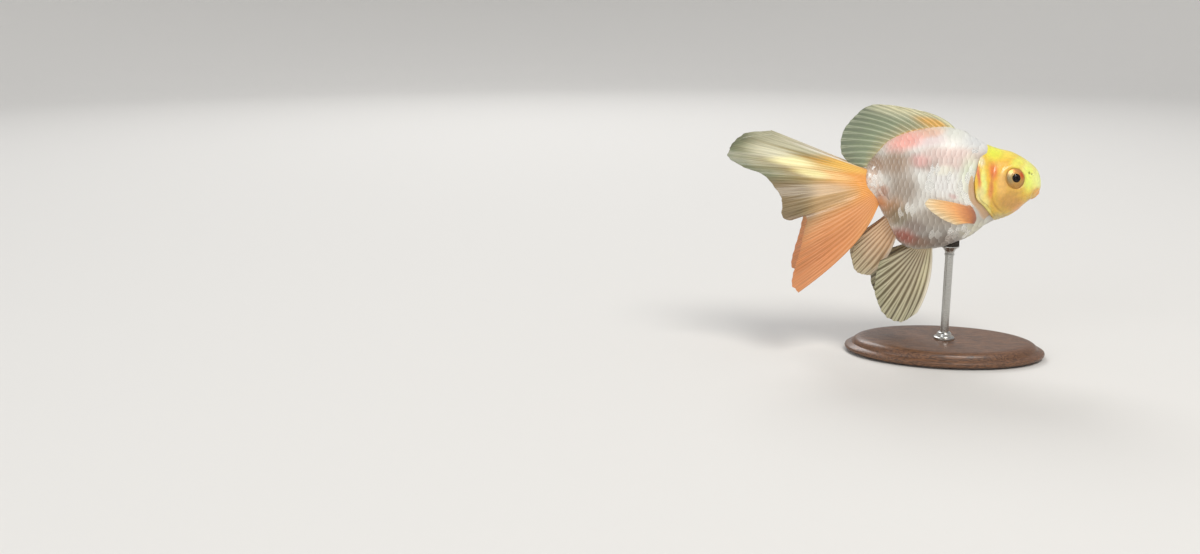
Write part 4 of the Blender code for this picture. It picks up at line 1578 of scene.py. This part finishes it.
    def lay_scale(self, template: Array, root: float, step: float, row: float,
                  row_places: Array, turns: Array, chance: Array) -> Array:
        """One scale laid on the body.

        Args:
            template: the scale's own points.
            root: nominal place of its root.
            step: distance to the next scale.
            row: row number of its middle line.
            row_places: row numbers of the table of turns.
            turns: the table of turns.
            chance: three random numbers that make it differ a little.

        Returns:
            Its points in the fish's millimetres.
        """
        along, across, up = template.T
        length = self.overlap * step * (1 + self.unlike[0] * chance[0])
        nominal = np.minimum(root + length * along, self.form.stem_end_y + 0.2)
        width = self.half_width * (1 + self.unlike[1] * chance[1])
        turn = self.turn_at(row + across * width, row_places, turns)
        y = np.clip(self.place(nominal, turn), self.form.snout_y, self.form.stem_end_y - 0.05)
        height = (-self.skin.coat_depth(nominal) - self.root_sink + up
                  + (self.slope + self.unlike[2] * chance[2]) * (nominal - root))
        return self.form.point(y, turn) + self.form.normal(y, turn) * height[:, None]

    def turn_at(self, row: Array, row_places: Array, turns: Array) -> Array:
        """Turn of a row number, which may run past either end of the table."""
        laps = np.floor(row / self.row_count)
        return np.interp(row - laps * self.row_count, row_places, turns) + 2 * math.pi * laps

    def join(self, side: Side, template: Array, faces: list[tuple[int, ...]],
             points: Array, marks: Array, uvs: Array) -> None:
        """Join the scales into one piece with its attributes and bake map.

        Args:
            side: the side that they cover.
            template: one scale's own points.
            faces: one scale's faces.
            points: the laid points of each scale.
            marks: tone and flash of each scale.
            uvs: place of each scale on the bake map.
        """
        count, size = len(points), len(template)
        corners = np.concatenate([np.array(face) for face in faces])
        lengths = np.array([len(face) for face in faces])
        mesh = bpy.data.meshes.new("scales_" + side.word)
        mesh.vertices.add(count * size)
        mesh.vertices.foreach_set("co", in_frame(points.reshape(-1, 3)))
        all_corners = (corners[None, :] + size * np.arange(count)[:, None]).ravel()
        mesh.loops.add(len(all_corners))
        mesh.loops.foreach_set("vertex_index", all_corners.astype(np.int32))
        all_lengths = np.tile(lengths, count)
        mesh.polygons.add(len(all_lengths))
        starts = np.concatenate([[0], np.cumsum(all_lengths)[:-1]])
        mesh.polygons.foreach_set("loop_start", starts.astype(np.int32))
        mesh.update(calc_edges=True)
        mesh.validate()
        piece = bpy.data.objects.new("scales_" + side.word, mesh)
        bpy.context.collection.objects.link(piece)
        note(piece, "scale_along", np.tile(template[:, 0], count))
        note(piece, "scale_across", np.tile(template[:, 1], count))
        note(piece, "scale_tone", np.repeat(marks[:, 0], size))
        note(piece, "scale_flash", np.repeat(marks[:, 1], size))
        note(piece, "past_gill", np.full(count * size, 9.0))
        local = (template[:, :2] - (0.5, 0.0)) * (1.0, 0.5) * self.patch_size
        spots = (uvs[:, None, :] + local[None, :, ::-1]).reshape(-1, 2)
        layer = mesh.uv_layers.new(name="OFBake")
        layer.data.foreach_set("uv", spots[all_corners].astype(np.float32).ravel())
        face_outwards(piece)
        hand_over(piece, self.finish, "body_scales", sharp=50.0)


# ---- fins ----
@dataclass(frozen=True)
class Fold:
    """A long fold of a fin: where it runs, how wide and deep it is and where it starts."""

    across: float
    width: float
    depth: float
    start: float = 0.1


@dataclass(frozen=True)
class FinForm:
    """A fan of rays: each leaves the root, bends towards its bend point, ends on the edge."""

    root: tuple[Triple, ...]
    bend: tuple[Triple, ...]
    edge: tuple[Triple, ...]

    def point(self, across: Array, along: Array) -> Array:
        """Points of the middle surface at shares across and along.

        Args:
            across: shares from the first ray to the last.
            along: shares from the root to the edge.

        Returns:
            One point in millimetres for each pair.
        """
        root, bend, edge = (curve_through(line, across)
                            for line in (self.root, self.bend, self.edge))
        v = along[:, None]
        return (1 - v) ** 2 * root + 2 * v * (1 - v) * bend + v * v * edge

    def normal(self, across: Array, along: Array) -> tuple[Array, Array]:
        """Unit normals, and the breadth in mm of the whole fan at each place.

        Args:
            across: shares from the first ray to the last.
            along: shares from the root to the edge.

        Returns:
            The normals and the breadths.
        """
        step = 1e-3
        over = (self.point(np.minimum(across + step, 1), along)
                - self.point(np.maximum(across - step, 0), along))
        span = np.minimum(across + step, 1) - np.maximum(across - step, 0)
        out = self.point(across, along + step) - self.point(across, along - step)
        breadth = np.linalg.norm(over, axis=1) / span
        return unit(np.cross(over, out)), breadth


@dataclass
class Fin:
    """A fin with raised, branching rays in a thin membrane."""

    name: str
    form: FinForm
    finish: Finish
    slot: str
    nodes: tuple[str, ...]
    side: Side = Side.LEFT
    rays: int = 16
    per_ray: int = 12  # faces across one ray and its membrane
    rows: int = 56
    start: float = -0.06  # the root begins this far inside the body
    membrane: float = 0.20
    ray_height: float = 0.42
    ray_width: float = 0.42
    lead: float = 0.5  # extra thickness of the first ray
    flesh: float = 1.3  # extra thickness at the root
    flesh_reach: float = 0.16
    scallop: float = 0.007
    ragged: float = 0.006
    ripple: float = 0.25
    bury: float = 0.0  # how far the root end bends into the body
    root_round: float = 0.0  # how far the root end's corners draw back
    corner: float = 0.0  # how far the outer corners draw in
    folds: tuple[Fold, ...] = ()
    branches: Pair = (0.38, 0.68)
    spread: Pair = (0.25, 0.12)
    gap: float = 0.16  # width of the painted shade in the gap between rays, in rays

    def ridges(self, across: Array, along: Array, breadth: Array) -> Array:
        """How far each place is on a ray, 0 to 1; a ray splits in two and then in four.

        Args:
            across: shares from the first ray to the last.
            along: shares from the root to the edge.
            breadth: breadth in mm of the whole fan there.

        Returns:
            The share of each place.
        """
        place = across * self.rays
        off_middle = place - np.floor(place) - 0.5
        width = np.clip(self.ray_width * (1 - 0.45 * along) * self.rays / breadth, 0.05, 0.25)
        first = self.spread[0] * ease(along, self.branches[0], 0.95)
        second = self.spread[1] * ease(along, self.branches[1], 1.0)
        best = np.zeros_like(across)
        for way in (-1, 1):
            for twist in (-1, 1):
                shift = way * first + twist * second
                best = np.maximum(best, bell(off_middle - shift, width))
        return best

    def build(self) -> None:
        """Lay a sheet on the fan, raise its rays and give it its thickness."""
        sheet, across, share = add_sheet(self.name, self.rays * self.per_ray, self.rows,
                                         "FinMap")
        along = self.start + (1 - self.start) * share
        place = across * self.rays
        notch = 0.5 - 0.5 * np.cos(2 * math.pi * place)
        wander = (np.sin(across * 23.0 + 1.3) + np.sin(across * 57.0) * 0.6
                  + np.sin(across * 131.0 + 0.7) * 0.4)
        back = self.scallop * (1 - notch) + self.ragged * (1 + 0.5 * wander)
        ends = (1 - ease(across, 0.0, 0.11)) ** 2 + ease(across, 0.89, 1.0) ** 2
        back = np.clip(back, 0.0, None) + self.corner * ends
        along = along - back * ease(share, 0.55, 1.0)
        along += self.root_round * np.abs(2 * across - 1) ** 3 * (1 - share) ** 3
        points = self.form.point(across, along)
        normals, breadth = self.form.normal(across, along)
        swell = np.zeros_like(across)
        for fold in self.folds:
            swell += fold.depth * bell(across - fold.across, fold.width) * ease(
                along, fold.start, 0.95)
        phase = 0.6 * self.side.value
        swell += self.ripple * np.sin(math.pi * place + 3 * along + phase) * along ** 2
        swell += 0.8 * self.ripple * np.sin(across * 11.0 + 5 * along + phase) * along
        points = points + normals * swell[:, None]
        ray = self.ridges(across, along, breadth)
        first = bell(across * breadth, 1.1)
        taper = 1 - 0.55 * np.clip(along, 0, 1)
        solid = (self.membrane + self.ray_height * ray * taper + self.lead * first * taper
                 + self.flesh * (1 - ease(along, 0.0, self.flesh_reach)))
        solid *= 0.25 + 0.75 * ease(share, 0.0, 0.08)
        points[:, 0] -= self.bury * (1 - ease(share, 0.0, 0.16)) ** 1.5
        points[:, 0] *= self.side.value
        set_points(sheet, points)
        note(sheet, "ray", np.maximum(ray, first))
        # where painted shade falls between the rays
        note(sheet, "groove", bell(place - np.rint(place), self.gap) * ease(along, 0.02, 0.2))
        group = sheet.vertex_groups.new(name="solid")
        most = float(solid.max())
        for index, weight in enumerate(solid / most):
            group.add((index,), float(weight), "REPLACE")
        apply_modifier(sheet, "SOLIDIFY", thickness=most * MM, offset=0.0, use_rim=True,
                       vertex_group="solid", thickness_vertex_group=0.0)
        sheet.vertex_groups.clear()
        hand_over(sheet, self.finish, self.slot, *self.nodes, sharp=70.0)


# ---- eyes ----
@dataclass
class Eye:
    """An eyeball with a modelled iris and lens, under a clear cornea."""

    place: EyePlace
    globe_finish: Finish
    cornea_finish: Finish
    lens_radius: float = 2.45
    # From the front pole to the back: (radius, height over the eyeball's centre).
    section: tuple[Pair, ...] = (
        (0.0, 3.95), (0.9, 3.86), (1.6, 3.66), (2.1, 3.38), (2.42, 3.05), (2.50, 2.74),
        (2.62, 2.62), (3.2, 2.60), (4.0, 2.38), (4.7, 2.10), (5.2, 1.88), (5.6, 1.66),
        (5.84, 1.30), (6.0, 0.3), (5.5, -1.6), (4.0, -3.2), (2.0, -4.1), (0.0, -4.4))

    def ball(self, name: str) -> tuple[Piece, Array, Array]:
        """A ball of radius 1 with its pole to the front.

        Args:
            name: the piece's name.

        Returns:
            The ball, and each point's share from pole to pole and angle round it.
        """
        deselect_all()
        bpy.ops.mesh.primitive_uv_sphere_add(segments=72, ring_count=56, radius=1.0)
        ball = bpy.context.object
        ball.name = ball.data.name = name
        points = points_of(ball)
        share = np.arccos(np.clip(points[:, 2], -1, 1)) / math.pi
        return ball, share, np.arctan2(points[:, 1], points[:, 0])

    def to_body(self, local: Array, side: Side) -> Array:
        """Places in the eye's own terms, on the body: x ahead, y up, z outwards.

        Args:
            local: places in the eye's own terms.
            side: the eye's side.

        Returns:
            The places in the fish's millimetres.
        """
        look = self.place.normal
        ahead = unit(np.array((0.0, -1.0, 0.0)) + look * look[1])
        up = np.cross(look, ahead)
        up = up if up[2] > 0 else -up
        centre = self.place.on_skin - self.place.sink * look
        points = centre + local @ np.stack([ahead, up, look])
        return points * (MIRROR if side is Side.RIGHT else 1.0)

    def build(self, side: Side) -> None:
        """The eyeball and its cornea.

        Args:
            side: the eye's side.
        """
        globe, share, angle = self.ball("eyeball_" + side.word)
        section = curve_through(self.section, share)
        radius, height = np.maximum(section[:, 0], 0.0), section[:, 1]
        local = np.stack([radius * np.cos(angle), radius * np.sin(angle), height], axis=1)
        set_points(globe, self.to_body(local, side))
        note(globe, "eye_radius", radius)
        note(globe, "eye_lens", (1 - ease(radius, self.lens_radius, self.lens_radius + 0.14))
             * (height > 0))
        layer = globe.data.uv_layers[0]
        layer.name = "EyeMap"
        corners = np.empty(len(globe.data.loops), np.int32)
        globe.data.loops.foreach_get("vertex_index", corners)
        layer.data.foreach_set("uv", local[corners, :2].astype(np.float32).ravel())
        face_outwards(globe)
        hand_over(globe, self.globe_finish, "eye", "eye_" + side.word, sharp=60.0)
        cornea, share, angle = self.ball("cornea_" + side.word)
        tilt = math.pi * share
        radius = (self.place.radius + 0.02) * np.sin(tilt)
        local = np.stack([radius * np.cos(angle), radius * np.sin(angle),
                          (self.place.half_depth + 0.02) * np.cos(tilt)], axis=1)
        set_points(cornea, self.to_body(local, side))
        face_outwards(cornea)
        hand_over(cornea, self.cornea_finish, "eye", sharp=180.0)


# ---- stand ----
@dataclass
class Stand:
    """Oval walnut base, turned steel collar, and a rod with a pad under the belly."""

    form: BodyForm
    wood: Finish
    steel: Finish
    pad: Finish
    half_length: float = 58.0
    half_width: float = 36.0
    thickness: float = 9.0
    rod_radius: float = 2.4
    pad_radius: float = 5.4
    collar_radius: float = 6.0
    collar_height: float = 4.3
    foot_height: float = 1.0

    @property
    def belly(self) -> float:
        """Height of the fish's underside over the rod."""
        return AXIS_HEIGHT + float(self.form.value("belly", np.asarray(0.0)))

    def base(self) -> None:
        """The base: a disc with a moulded edge, drawn out to an oval."""
        width, top = self.half_width, self.thickness
        edge = [(0.0, self.foot_height), (width - 3.0, self.foot_height),
                (width - 1.0, self.foot_height + 0.2), (width - 0.2, 1.9), (width, 2.8),
                (width - 0.2, 3.7), (width - 0.9, 4.4), (width - 1.9, 4.8), (width - 2.5, 5.2),
                (width - 2.8, 6.0), (width - 3.2, 7.0), (width - 4.0, 7.9),
                (width - 5.2, 8.6), (width - 6.8, 8.95), (width - 8.6, top),
                (8.0, top), (0.0, top)]
        base = add_turned("display_base", edge, 168)
        self.draw_out(base)
        hand_over(base, self.wood, "stand_wood", "stand_base", sharp=32.0)

    def draw_out(self, piece: Piece) -> None:
        """Stretch a turned piece along Y to the base's oval."""
        in_edit_mode(piece, lambda: bpy.ops.transform.resize(
            value=(1.0, self.half_length / self.half_width, 1.0), center_override=(0, 0, 0)))

    def foot(self) -> None:
        """The felt under the base."""
        width = self.half_width - 4.2
        felt = add_turned("base_felt", [(0.0, 0.0), (width - 0.4, 0.0), (width, 0.35),
                                        (width, self.foot_height + 0.05),
                                        (0.0, self.foot_height + 0.05)], 120)
        self.draw_out(felt)
        hand_over(felt, self.pad, "stand_wood", sharp=32.0)

    def collar(self) -> None:
        """The turned collar that holds the rod."""
        low, wide, high = self.thickness - 0.05, self.collar_radius, self.collar_height
        ring = add_turned("rod_collar", [
            (0.0, low), (wide - 0.2, low), (wide, low + 0.25), (wide, low + 1.1),
            (wide - 0.3, low + 1.4), (wide - 1.3, low + 1.6), (wide - 1.7, low + 2.1),
            (wide - 1.8, low + high - 1.2), (wide - 2.1, low + high - 0.5),
            (wide - 2.7, low + high), (self.rod_radius, low + high + 0.05),
            (0.0, low + high + 0.05)], 72)
        hand_over(ring, self.steel, "stand_metal", "stand_collar", sharp=38.0)

    def rod(self) -> None:
        """The rod, with a cup that widens to the pad."""
        belly, radius, wide = self.belly, self.rod_radius, self.pad_radius
        rod = add_turned("support_rod", [
            (0.0, self.thickness), (radius, self.thickness), (radius, belly - 7.2),
            (radius + 0.45, belly - 6.9), (radius + 0.45, belly - 6.2),
            (radius + 0.1, belly - 5.8), (radius + 0.5, belly - 4.4),
            (radius + 1.5, belly - 3.0), (wide - 0.35, belly - 2.1), (wide, belly - 1.7),
            (wide, belly - 1.2), (0.0, belly - 1.2)], 72)
        hand_over(rod, self.steel, "stand_metal", "stand_rod", sharp=38.0)

    def cushion(self) -> None:
        """The soft pad between cup and belly; its top follows the belly."""
        belly, wide = self.belly, self.pad_radius - 0.25
        rings = [(wide * i / 6, belly + 1.0) for i in range(6, -1, -1)]
        pad = add_turned("belly_pad", [(0.0, belly - 1.25), (wide, belly - 1.25),
                                       (wide + 0.1, belly - 0.6), *rings], 72)
        points = points_of(pad) / MM
        top = points[:, 2] > belly + 0.5
        under = self.form.belly_z(points[top, 0], points[top, 1]) + AXIS_HEIGHT
        points[top, 2] = under + 0.12
        set_points(pad, points - (0.0, 0.0, AXIS_HEIGHT))
        hand_over(pad, self.pad, "stand_metal", sharp=50.0)

    def build(self) -> None:
        """Every piece of the stand."""
        self.base()
        self.foot()
        self.collar()
        self.rod()
        self.cushion()


# ---- studio ----
@dataclass(frozen=True)
class SoftLight:
    """An area light: where it hangs, what it looks at, how large and how strong it is."""

    name: str
    place: Triple
    target: Triple
    size: float
    power: float
    colour: Triple = (1.0, 1.0, 1.0)


@dataclass
class Studio:
    """Pale floor with a rim that curves up all round, soft lights and the camera."""

    floor_finish: Finish
    floor_radius: float = 2.2
    rim_radius: float = 0.8
    sky: Triple = (0.93, 0.95, 1.0)
    sky_strength: float = 0.48
    camera_place: Triple = (-0.71386, 0.10033, 0.20631)
    camera_pitch: float = -13.01  # degrees, below the horizon
    camera_heading: float = 8.57  # degrees from +X towards +Y
    lens: float = 36.0
    sensor: float = 36.0
    lights: tuple[SoftLight, ...] = (
        SoftLight("key_light", (-1.2, -0.7, 2.1), (0.0, 0.02, 0.10), 1.1, 34.0,
                  (1.0, 0.97, 0.92)),
        SoftLight("fill_light", (-1.6, 1.5, 0.9), (0.0, 0.02, 0.10), 1.4, 9.0,
                  (0.93, 0.97, 1.0)),
        SoftLight("rim_light", (1.6, 0.6, 1.6), (0.0, 0.02, 0.12), 1.1, 19.0))

    def floor(self) -> None:
        """The floor."""
        flat, rim = self.floor_radius / MM, self.rim_radius / MM
        bends = [(flat + rim * math.sin(a), rim * (1 - math.cos(a)))
                 for a in np.linspace(0.0, 0.5 * math.pi, 10)]
        profile = [(0.0, 0.0), (flat * 0.3, 0.0), *bends, (flat + rim, rim * 1.6)]
        made = add_turned("studio_floor", profile, 96)
        in_edit_mode(made, lambda: bpy.ops.mesh.flip_normals())
        make_active(made)
        bpy.ops.object.shade_smooth_by_angle(angle=math.radians(60.0))
        made.data.materials.append(self.floor_finish.material())

    def hang_light(self, light: SoftLight) -> None:
        """One soft light.

        Args:
            light: where it hangs and how strong it is.
        """
        deselect_all()
        bpy.ops.object.light_add(type="AREA", location=light.place)
        made = bpy.context.object
        made.name = light.name
        made.data.shape = "DISK"
        made.data.size = light.size
        made.data.energy = light.power
        made.data.color = light.colour
        aim = Vector(light.target) - Vector(light.place)
        made.rotation_euler = aim.to_track_quat("-Z", "Y").to_euler()

    def camera(self) -> None:
        """The camera."""
        deselect_all()
        turn = (math.radians(90.0 + self.camera_pitch), 0.0,
                math.radians(self.camera_heading - 90.0))
        bpy.ops.object.camera_add(location=self.camera_place, rotation=turn)
        made = bpy.context.object
        made.name = "camera"
        made.data.lens, made.data.sensor_width = self.lens, self.sensor
        made.data.clip_start, made.data.clip_end = 0.01, 20.0
        bpy.context.scene.camera = made

    def world(self) -> None:
        """Even light from all round."""
        scene = bpy.context.scene
        scene.world = bpy.data.worlds.new("studio_sky")
        scene.world.use_nodes = True
        ground = scene.world.node_tree.nodes["Background"]
        ground.inputs["Color"].default_value = (*self.sky, 1.0)
        ground.inputs["Strength"].default_value = self.sky_strength
        scene.view_settings.view_transform = "Standard"

    def build(self) -> None:
        """Floor, lights, world and camera."""
        self.floor()
        self.world()
        for light in self.lights:
            self.hang_light(light)
        self.camera()


# ---- the fins of this fish ----
DORSAL = FinForm(
    root=((0, 0.5, 28.0), (0, 14.0, 28.3), (0, 27.5, 25.2), (0, 39.4, 18.8), (0, 50.0, 5.6)),
    bend=((0, 5.6, 35.4), (0.4, 25.0, 38.0), (1.0, 41.0, 34.0), (1.0, 52.0, 21.8),
          (0.3, 54.2, 6.0)),
    edge=((0, 20.0, 38.9), (0.4, 35.0, 41.6), (1.2, 49.5, 42.0), (2.2, 58.4, 35.4),
          (2.8, 64.6, 26.3), (2.2, 65.4, 14.4), (1.0, 58.8, 6.2)))
PECTORAL = FinForm(
    root=((20.3, -8.0, -13.4), (19.4, -8.8, -17.8), (17.0, -10.4, -22.8)),
    bend=((25.2, 4.0, -8.8), (26.0, 4.0, -13.6), (21.8, -3.6, -21.6)),
    edge=((27.2, 17.4, -7.6), (28.8, 19.2, -11.0), (29.2, 13.6, -16.0), (27.4, 6.6, -20.2),
          (23.8, 0.6, -23.0)))
PELVIC = FinForm(
    root=((6.6, 11.2, -37.6), (6.8, 16.2, -38.6), (6.4, 21.2, -38.6)),
    bend=((10.0, 8.4, -61.0), (12.0, 25.0, -58.0), (9.0, 31.0, -43.0)),
    edge=((15.6, 18.8, -77.6), (17.4, 28.6, -82.8), (18.2, 38.8, -76.6), (17.0, 43.6, -62.6),
          (12.6, 41.0, -47.0)))
ANAL = FinForm(
    root=((3.4, 31.4, -34.0), (3.4, 35.0, -27.6), (3.2, 37.8, -22.6)),
    bend=((5.4, 34.6, -49.0), (6.0, 45.0, -39.0), (4.6, 45.6, -29.6)),
    edge=((6.6, 46.0, -57.4), (8.2, 53.6, -55.4), (8.8, 57.0, -46.6), (6.4, 54.0, -35.6)))
TAIL = FinForm(
    root=((1.5, 49.4, 4.2), (1.9, 48.2, -0.8), (2.5, 46.6, -5.2), (3.0, 44.4, -9.8),
          (3.2, 42.6, -14.0)),
    bend=((4.4, 70.0, 12.8), (8.4, 82.0, 5.6), (12.6, 66.0, -8.4), (14.6, 59.2, -21.6),
          (15.0, 47.4, -36.8)),
    edge=((12.0, 111.0, 27.2), (13.6, 123.4, 22.6), (15.4, 131.2, 13.4), (17.0, 122.8, 6.2),
          (18.6, 108.6, 2.0), (20.2, 99.6, -9.4), (21.4, 98.0, -21.6), (22.0, 84.8, -20.4),
          (23.4, 86.0, -30.0), (25.4, 88.8, -42.6), (27.2, 91.6, -57.0), (28.0, 92.4, -68.2)))

# Each finish's groove colour is painted shade between the rays.
DORSAL_FINISH = FinFinish(
    "pale_dorsal_fin", along=((0.0, "e6a850"), (0.08, "bcb286"), (0.4, "98a482"),
                              (1.0, "778264")),
    patches=(Patch((0.30, 0.66), (0.14, 0.40), "cfd0ae", 0.85),
             Patch((0.15, 0.30), (0.15, 0.28), "f6bd58", 1.0),
             Patch((0.46, 0.04), (0.62, 0.09), "f0ac4c", 1.0),
             Patch((0.14, 0.82), (0.24, 0.40), "f6efc2", 0.95),
             Patch((0.01, 0.55), (0.07, 0.75), "f3efc4", 0.95)),
    ray="e6e8d2", ray_strength=0.36, groove="6c7862", groove_strength=0.42,
    opacity=((0.0, 1.0), (0.12, 0.92), (0.5, 0.84), (1.0, 0.76)), ray_opacity=0.2)
PECTORAL_FINISH = FinFinish(
    "orange_pectoral_fin", along=((0.0, "8e4c3c"), (0.12, "9e5642"), (0.26, "dc8852"),
                                  (0.5, "feb46c"), (0.78, "f2c88c"), (1.0, "e9dcb8")),
    ray="f6cf9c", ray_strength=0.25, groove="c98450", groove_strength=0.3,
    opacity=((0.0, 1.0), (0.6, 0.96), (1.0, 0.7)), streaks=70.0)
BELLY_FINISH = FinFinish(
    "cream_belly_fin", along=((0.0, "a07d58"), (0.10, "b39a74"), (0.35, "9a8b6c"),
                              (0.75, "877e5e"), (1.0, "74754f")),
    patches=(Patch((0.0, 0.5), (0.06, 0.95), "f2e8da", 0.95),
             Patch((0.16, 0.35), (0.10, 0.3), "d9d0a4", 0.8)),
    ray="e2d8ba", ray_strength=0.55, groove="5e4d39", groove_strength=0.8,
    opacity=((0.0, 1.0), (0.3, 0.95), (1.0, 0.82)), ray_opacity=0.2, streaks=60.0)
ANAL_FINISH = FinFinish(
    "tan_anal_fin", along=((0.0, "b07c50"), (0.25, "deae80"), (0.6, "c8a884"), (1.0, "a09a76")),
    patches=(Patch((0.0, 0.5), (0.08, 0.95), "f0dcc8", 0.9),),
    ray="ead6b8", ray_strength=0.5, groove="7d6148", groove_strength=0.6,
    opacity=((0.0, 1.0), (0.3, 0.95), (1.0, 0.8)), ray_opacity=0.2, streaks=60.0)
TAIL_FINISH = FinFinish(
    "peach_tail_fin", along=((0.0, "f09a2a"), (0.20, "f29c22"), (0.38, "dc9a40"),
                             (0.66, "a08a52"), (0.86, "8c8a64"), (1.0, "6e7656")),
    patches=(Patch((0.84, 0.60), (0.27, 0.72), "e8995c", 1.0),
             Patch((0.92, 0.95), (0.18, 0.5), "df8a50", 0.9),
             Patch((0.50, 0.55), (0.14, 0.34), "cfa878", 0.8),
             # painted shade in the fold by the fork
             Patch((0.49, 0.96), (0.10, 0.24), "8a7350", 0.9),
             Patch((0.02, 0.74), (0.07, 0.40), "d6d2b4", 0.95),
             Patch((0.07, 0.28), (0.13, 0.26), "ffc650", 0.95),
             Patch((0.30, 0.34), (0.09, 0.16), "ffca7c", 0.8),
             Patch((0.18, 0.44), (0.05, 0.20), "e2bc6a", 0.95),
             # pale band along the upper lobe's fold, brightened as a painted highlight; three
             # patches
             Patch((0.29, 0.52), (0.075, 0.15), "fdf0a8", 0.95),
             Patch((0.17, 0.62), (0.065, 0.16), "fdf3b0", 1.0),
             Patch((0.105, 0.79), (0.06, 0.17), "e8e4c6", 0.95),
             # painted shade near the fork
             Patch((0.43, 0.88), (0.065, 0.24), "7c643c", 0.95),
             # thin lines of painted crease shade beside that band; two patches
             Patch((0.075, 0.62), (0.009, 0.30), "a5935c", 0.8),
             Patch((0.105, 0.50), (0.007, 0.24), "c09a50", 0.7),
             # painted shade near the fork
             Patch((0.60, 0.97), (0.06, 0.12), "80604a", 0.8),
             # painted highlight along the upper edge
             Patch((0.0, 0.52), (0.022, 0.36), "f8f4e6", 0.95)),
    ray="f4e6c4", ray_strength=0.16, groove="94805c", groove_strength=0.16,
    opacity=((0.0, 1.0), (0.35, 0.98), (0.7, 0.93), (1.0, 0.84)), ray_opacity=0.12,
    streaks=240.0)


def build_fins() -> None:
    """The dorsal fin and, on each side, the paired fins and one half of the tail."""
    Fin("dorsal_fin_web", DORSAL, DORSAL_FINISH, "dorsal_fin", ("dorsal_fin",), rays=17,
        lead=0.9, flesh=0.9, flesh_reach=0.10, ripple=0.2, branches=(0.6, 0.85),
        spread=(0.13, 0.06), gap=0.2).build()
    for side in Side:
        word = side.word
        Fin("pectoral_web_" + word, PECTORAL, PECTORAL_FINISH, "orange_fin",
            ("pectoral_fin_" + word,), side, rays=15, rows=60, start=-0.12, flesh=2.4,
            flesh_reach=0.45, bury=3.4, root_round=0.16, ripple=0.2,
            ray_height=0.25, lead=0.7).build()
        Fin("pelvic_web_" + word, PELVIC, BELLY_FINISH, "cream_fin", ("pelvic_fin_" + word,),
            side, rays=11, per_ray=16, lead=0.8, flesh=1.5, flesh_reach=0.12, ripple=0.4,
            ray_width=0.7, gap=0.13, spread=(0.2, 0.08)).build()
        Fin("anal_web_" + word, ANAL, ANAL_FINISH, "cream_fin", ("anal_fin_" + word,),
            side, rays=8, per_ray=16, rows=44, flesh=1.2, flesh_reach=0.14, ripple=0.3,
            ray_width=0.6, gap=0.13, spread=(0.2, 0.08)).build()
        Fin("tail_web_" + word, TAIL, TAIL_FINISH, "tail_fin",
            ("tail_upper_lobe_" + word, "tail_lower_lobe_" + word), side, rays=30,
            per_ray=12, rows=76, flesh=2.2, flesh_reach=0.14, ripple=0.12, ray_height=0.16,
            membrane=0.26, scallop=0.004, ragged=0.005, corner=0.05,
            folds=(Fold(0.24, 0.07, 2.0), Fold(0.11, 0.05, -1.5), Fold(0.40, 0.04, -1.8),
                   Fold(0.50, 0.03, 1.2), Fold(0.57, 0.03, -1.5, 0.2),
                   Fold(0.78, 0.07, 1.4), Fold(0.92, 0.05, -1.0))).build()


def main() -> None:
    """Build every piece and the studio."""
    logging.basicConfig(level=logging.INFO, format="%(name)s %(message)s")
    form = BodyForm()
    eye_place = EyePlace(form)
    Studio(FloorFinish("pale_floor")).build()
    Stand(form, WalnutFinish("walnut"), SteelFinish("brushed_steel"),
          PadFinish("felt")).build()
    skin = FishSkin(form, eye_place, SkinFinish("fish_skin"))
    skin.build()
    coat = ScaleCoat(form, skin, ScaleFinish("pearl_scales"))
    eye = Eye(eye_place, EyeFinish("gold_iris"), CorneaFinish("clear_cornea"))
    for side in Side:
        coat.build(side)
        eye.build(side)
    build_fins()


if __name__ == "__main__":
    main()
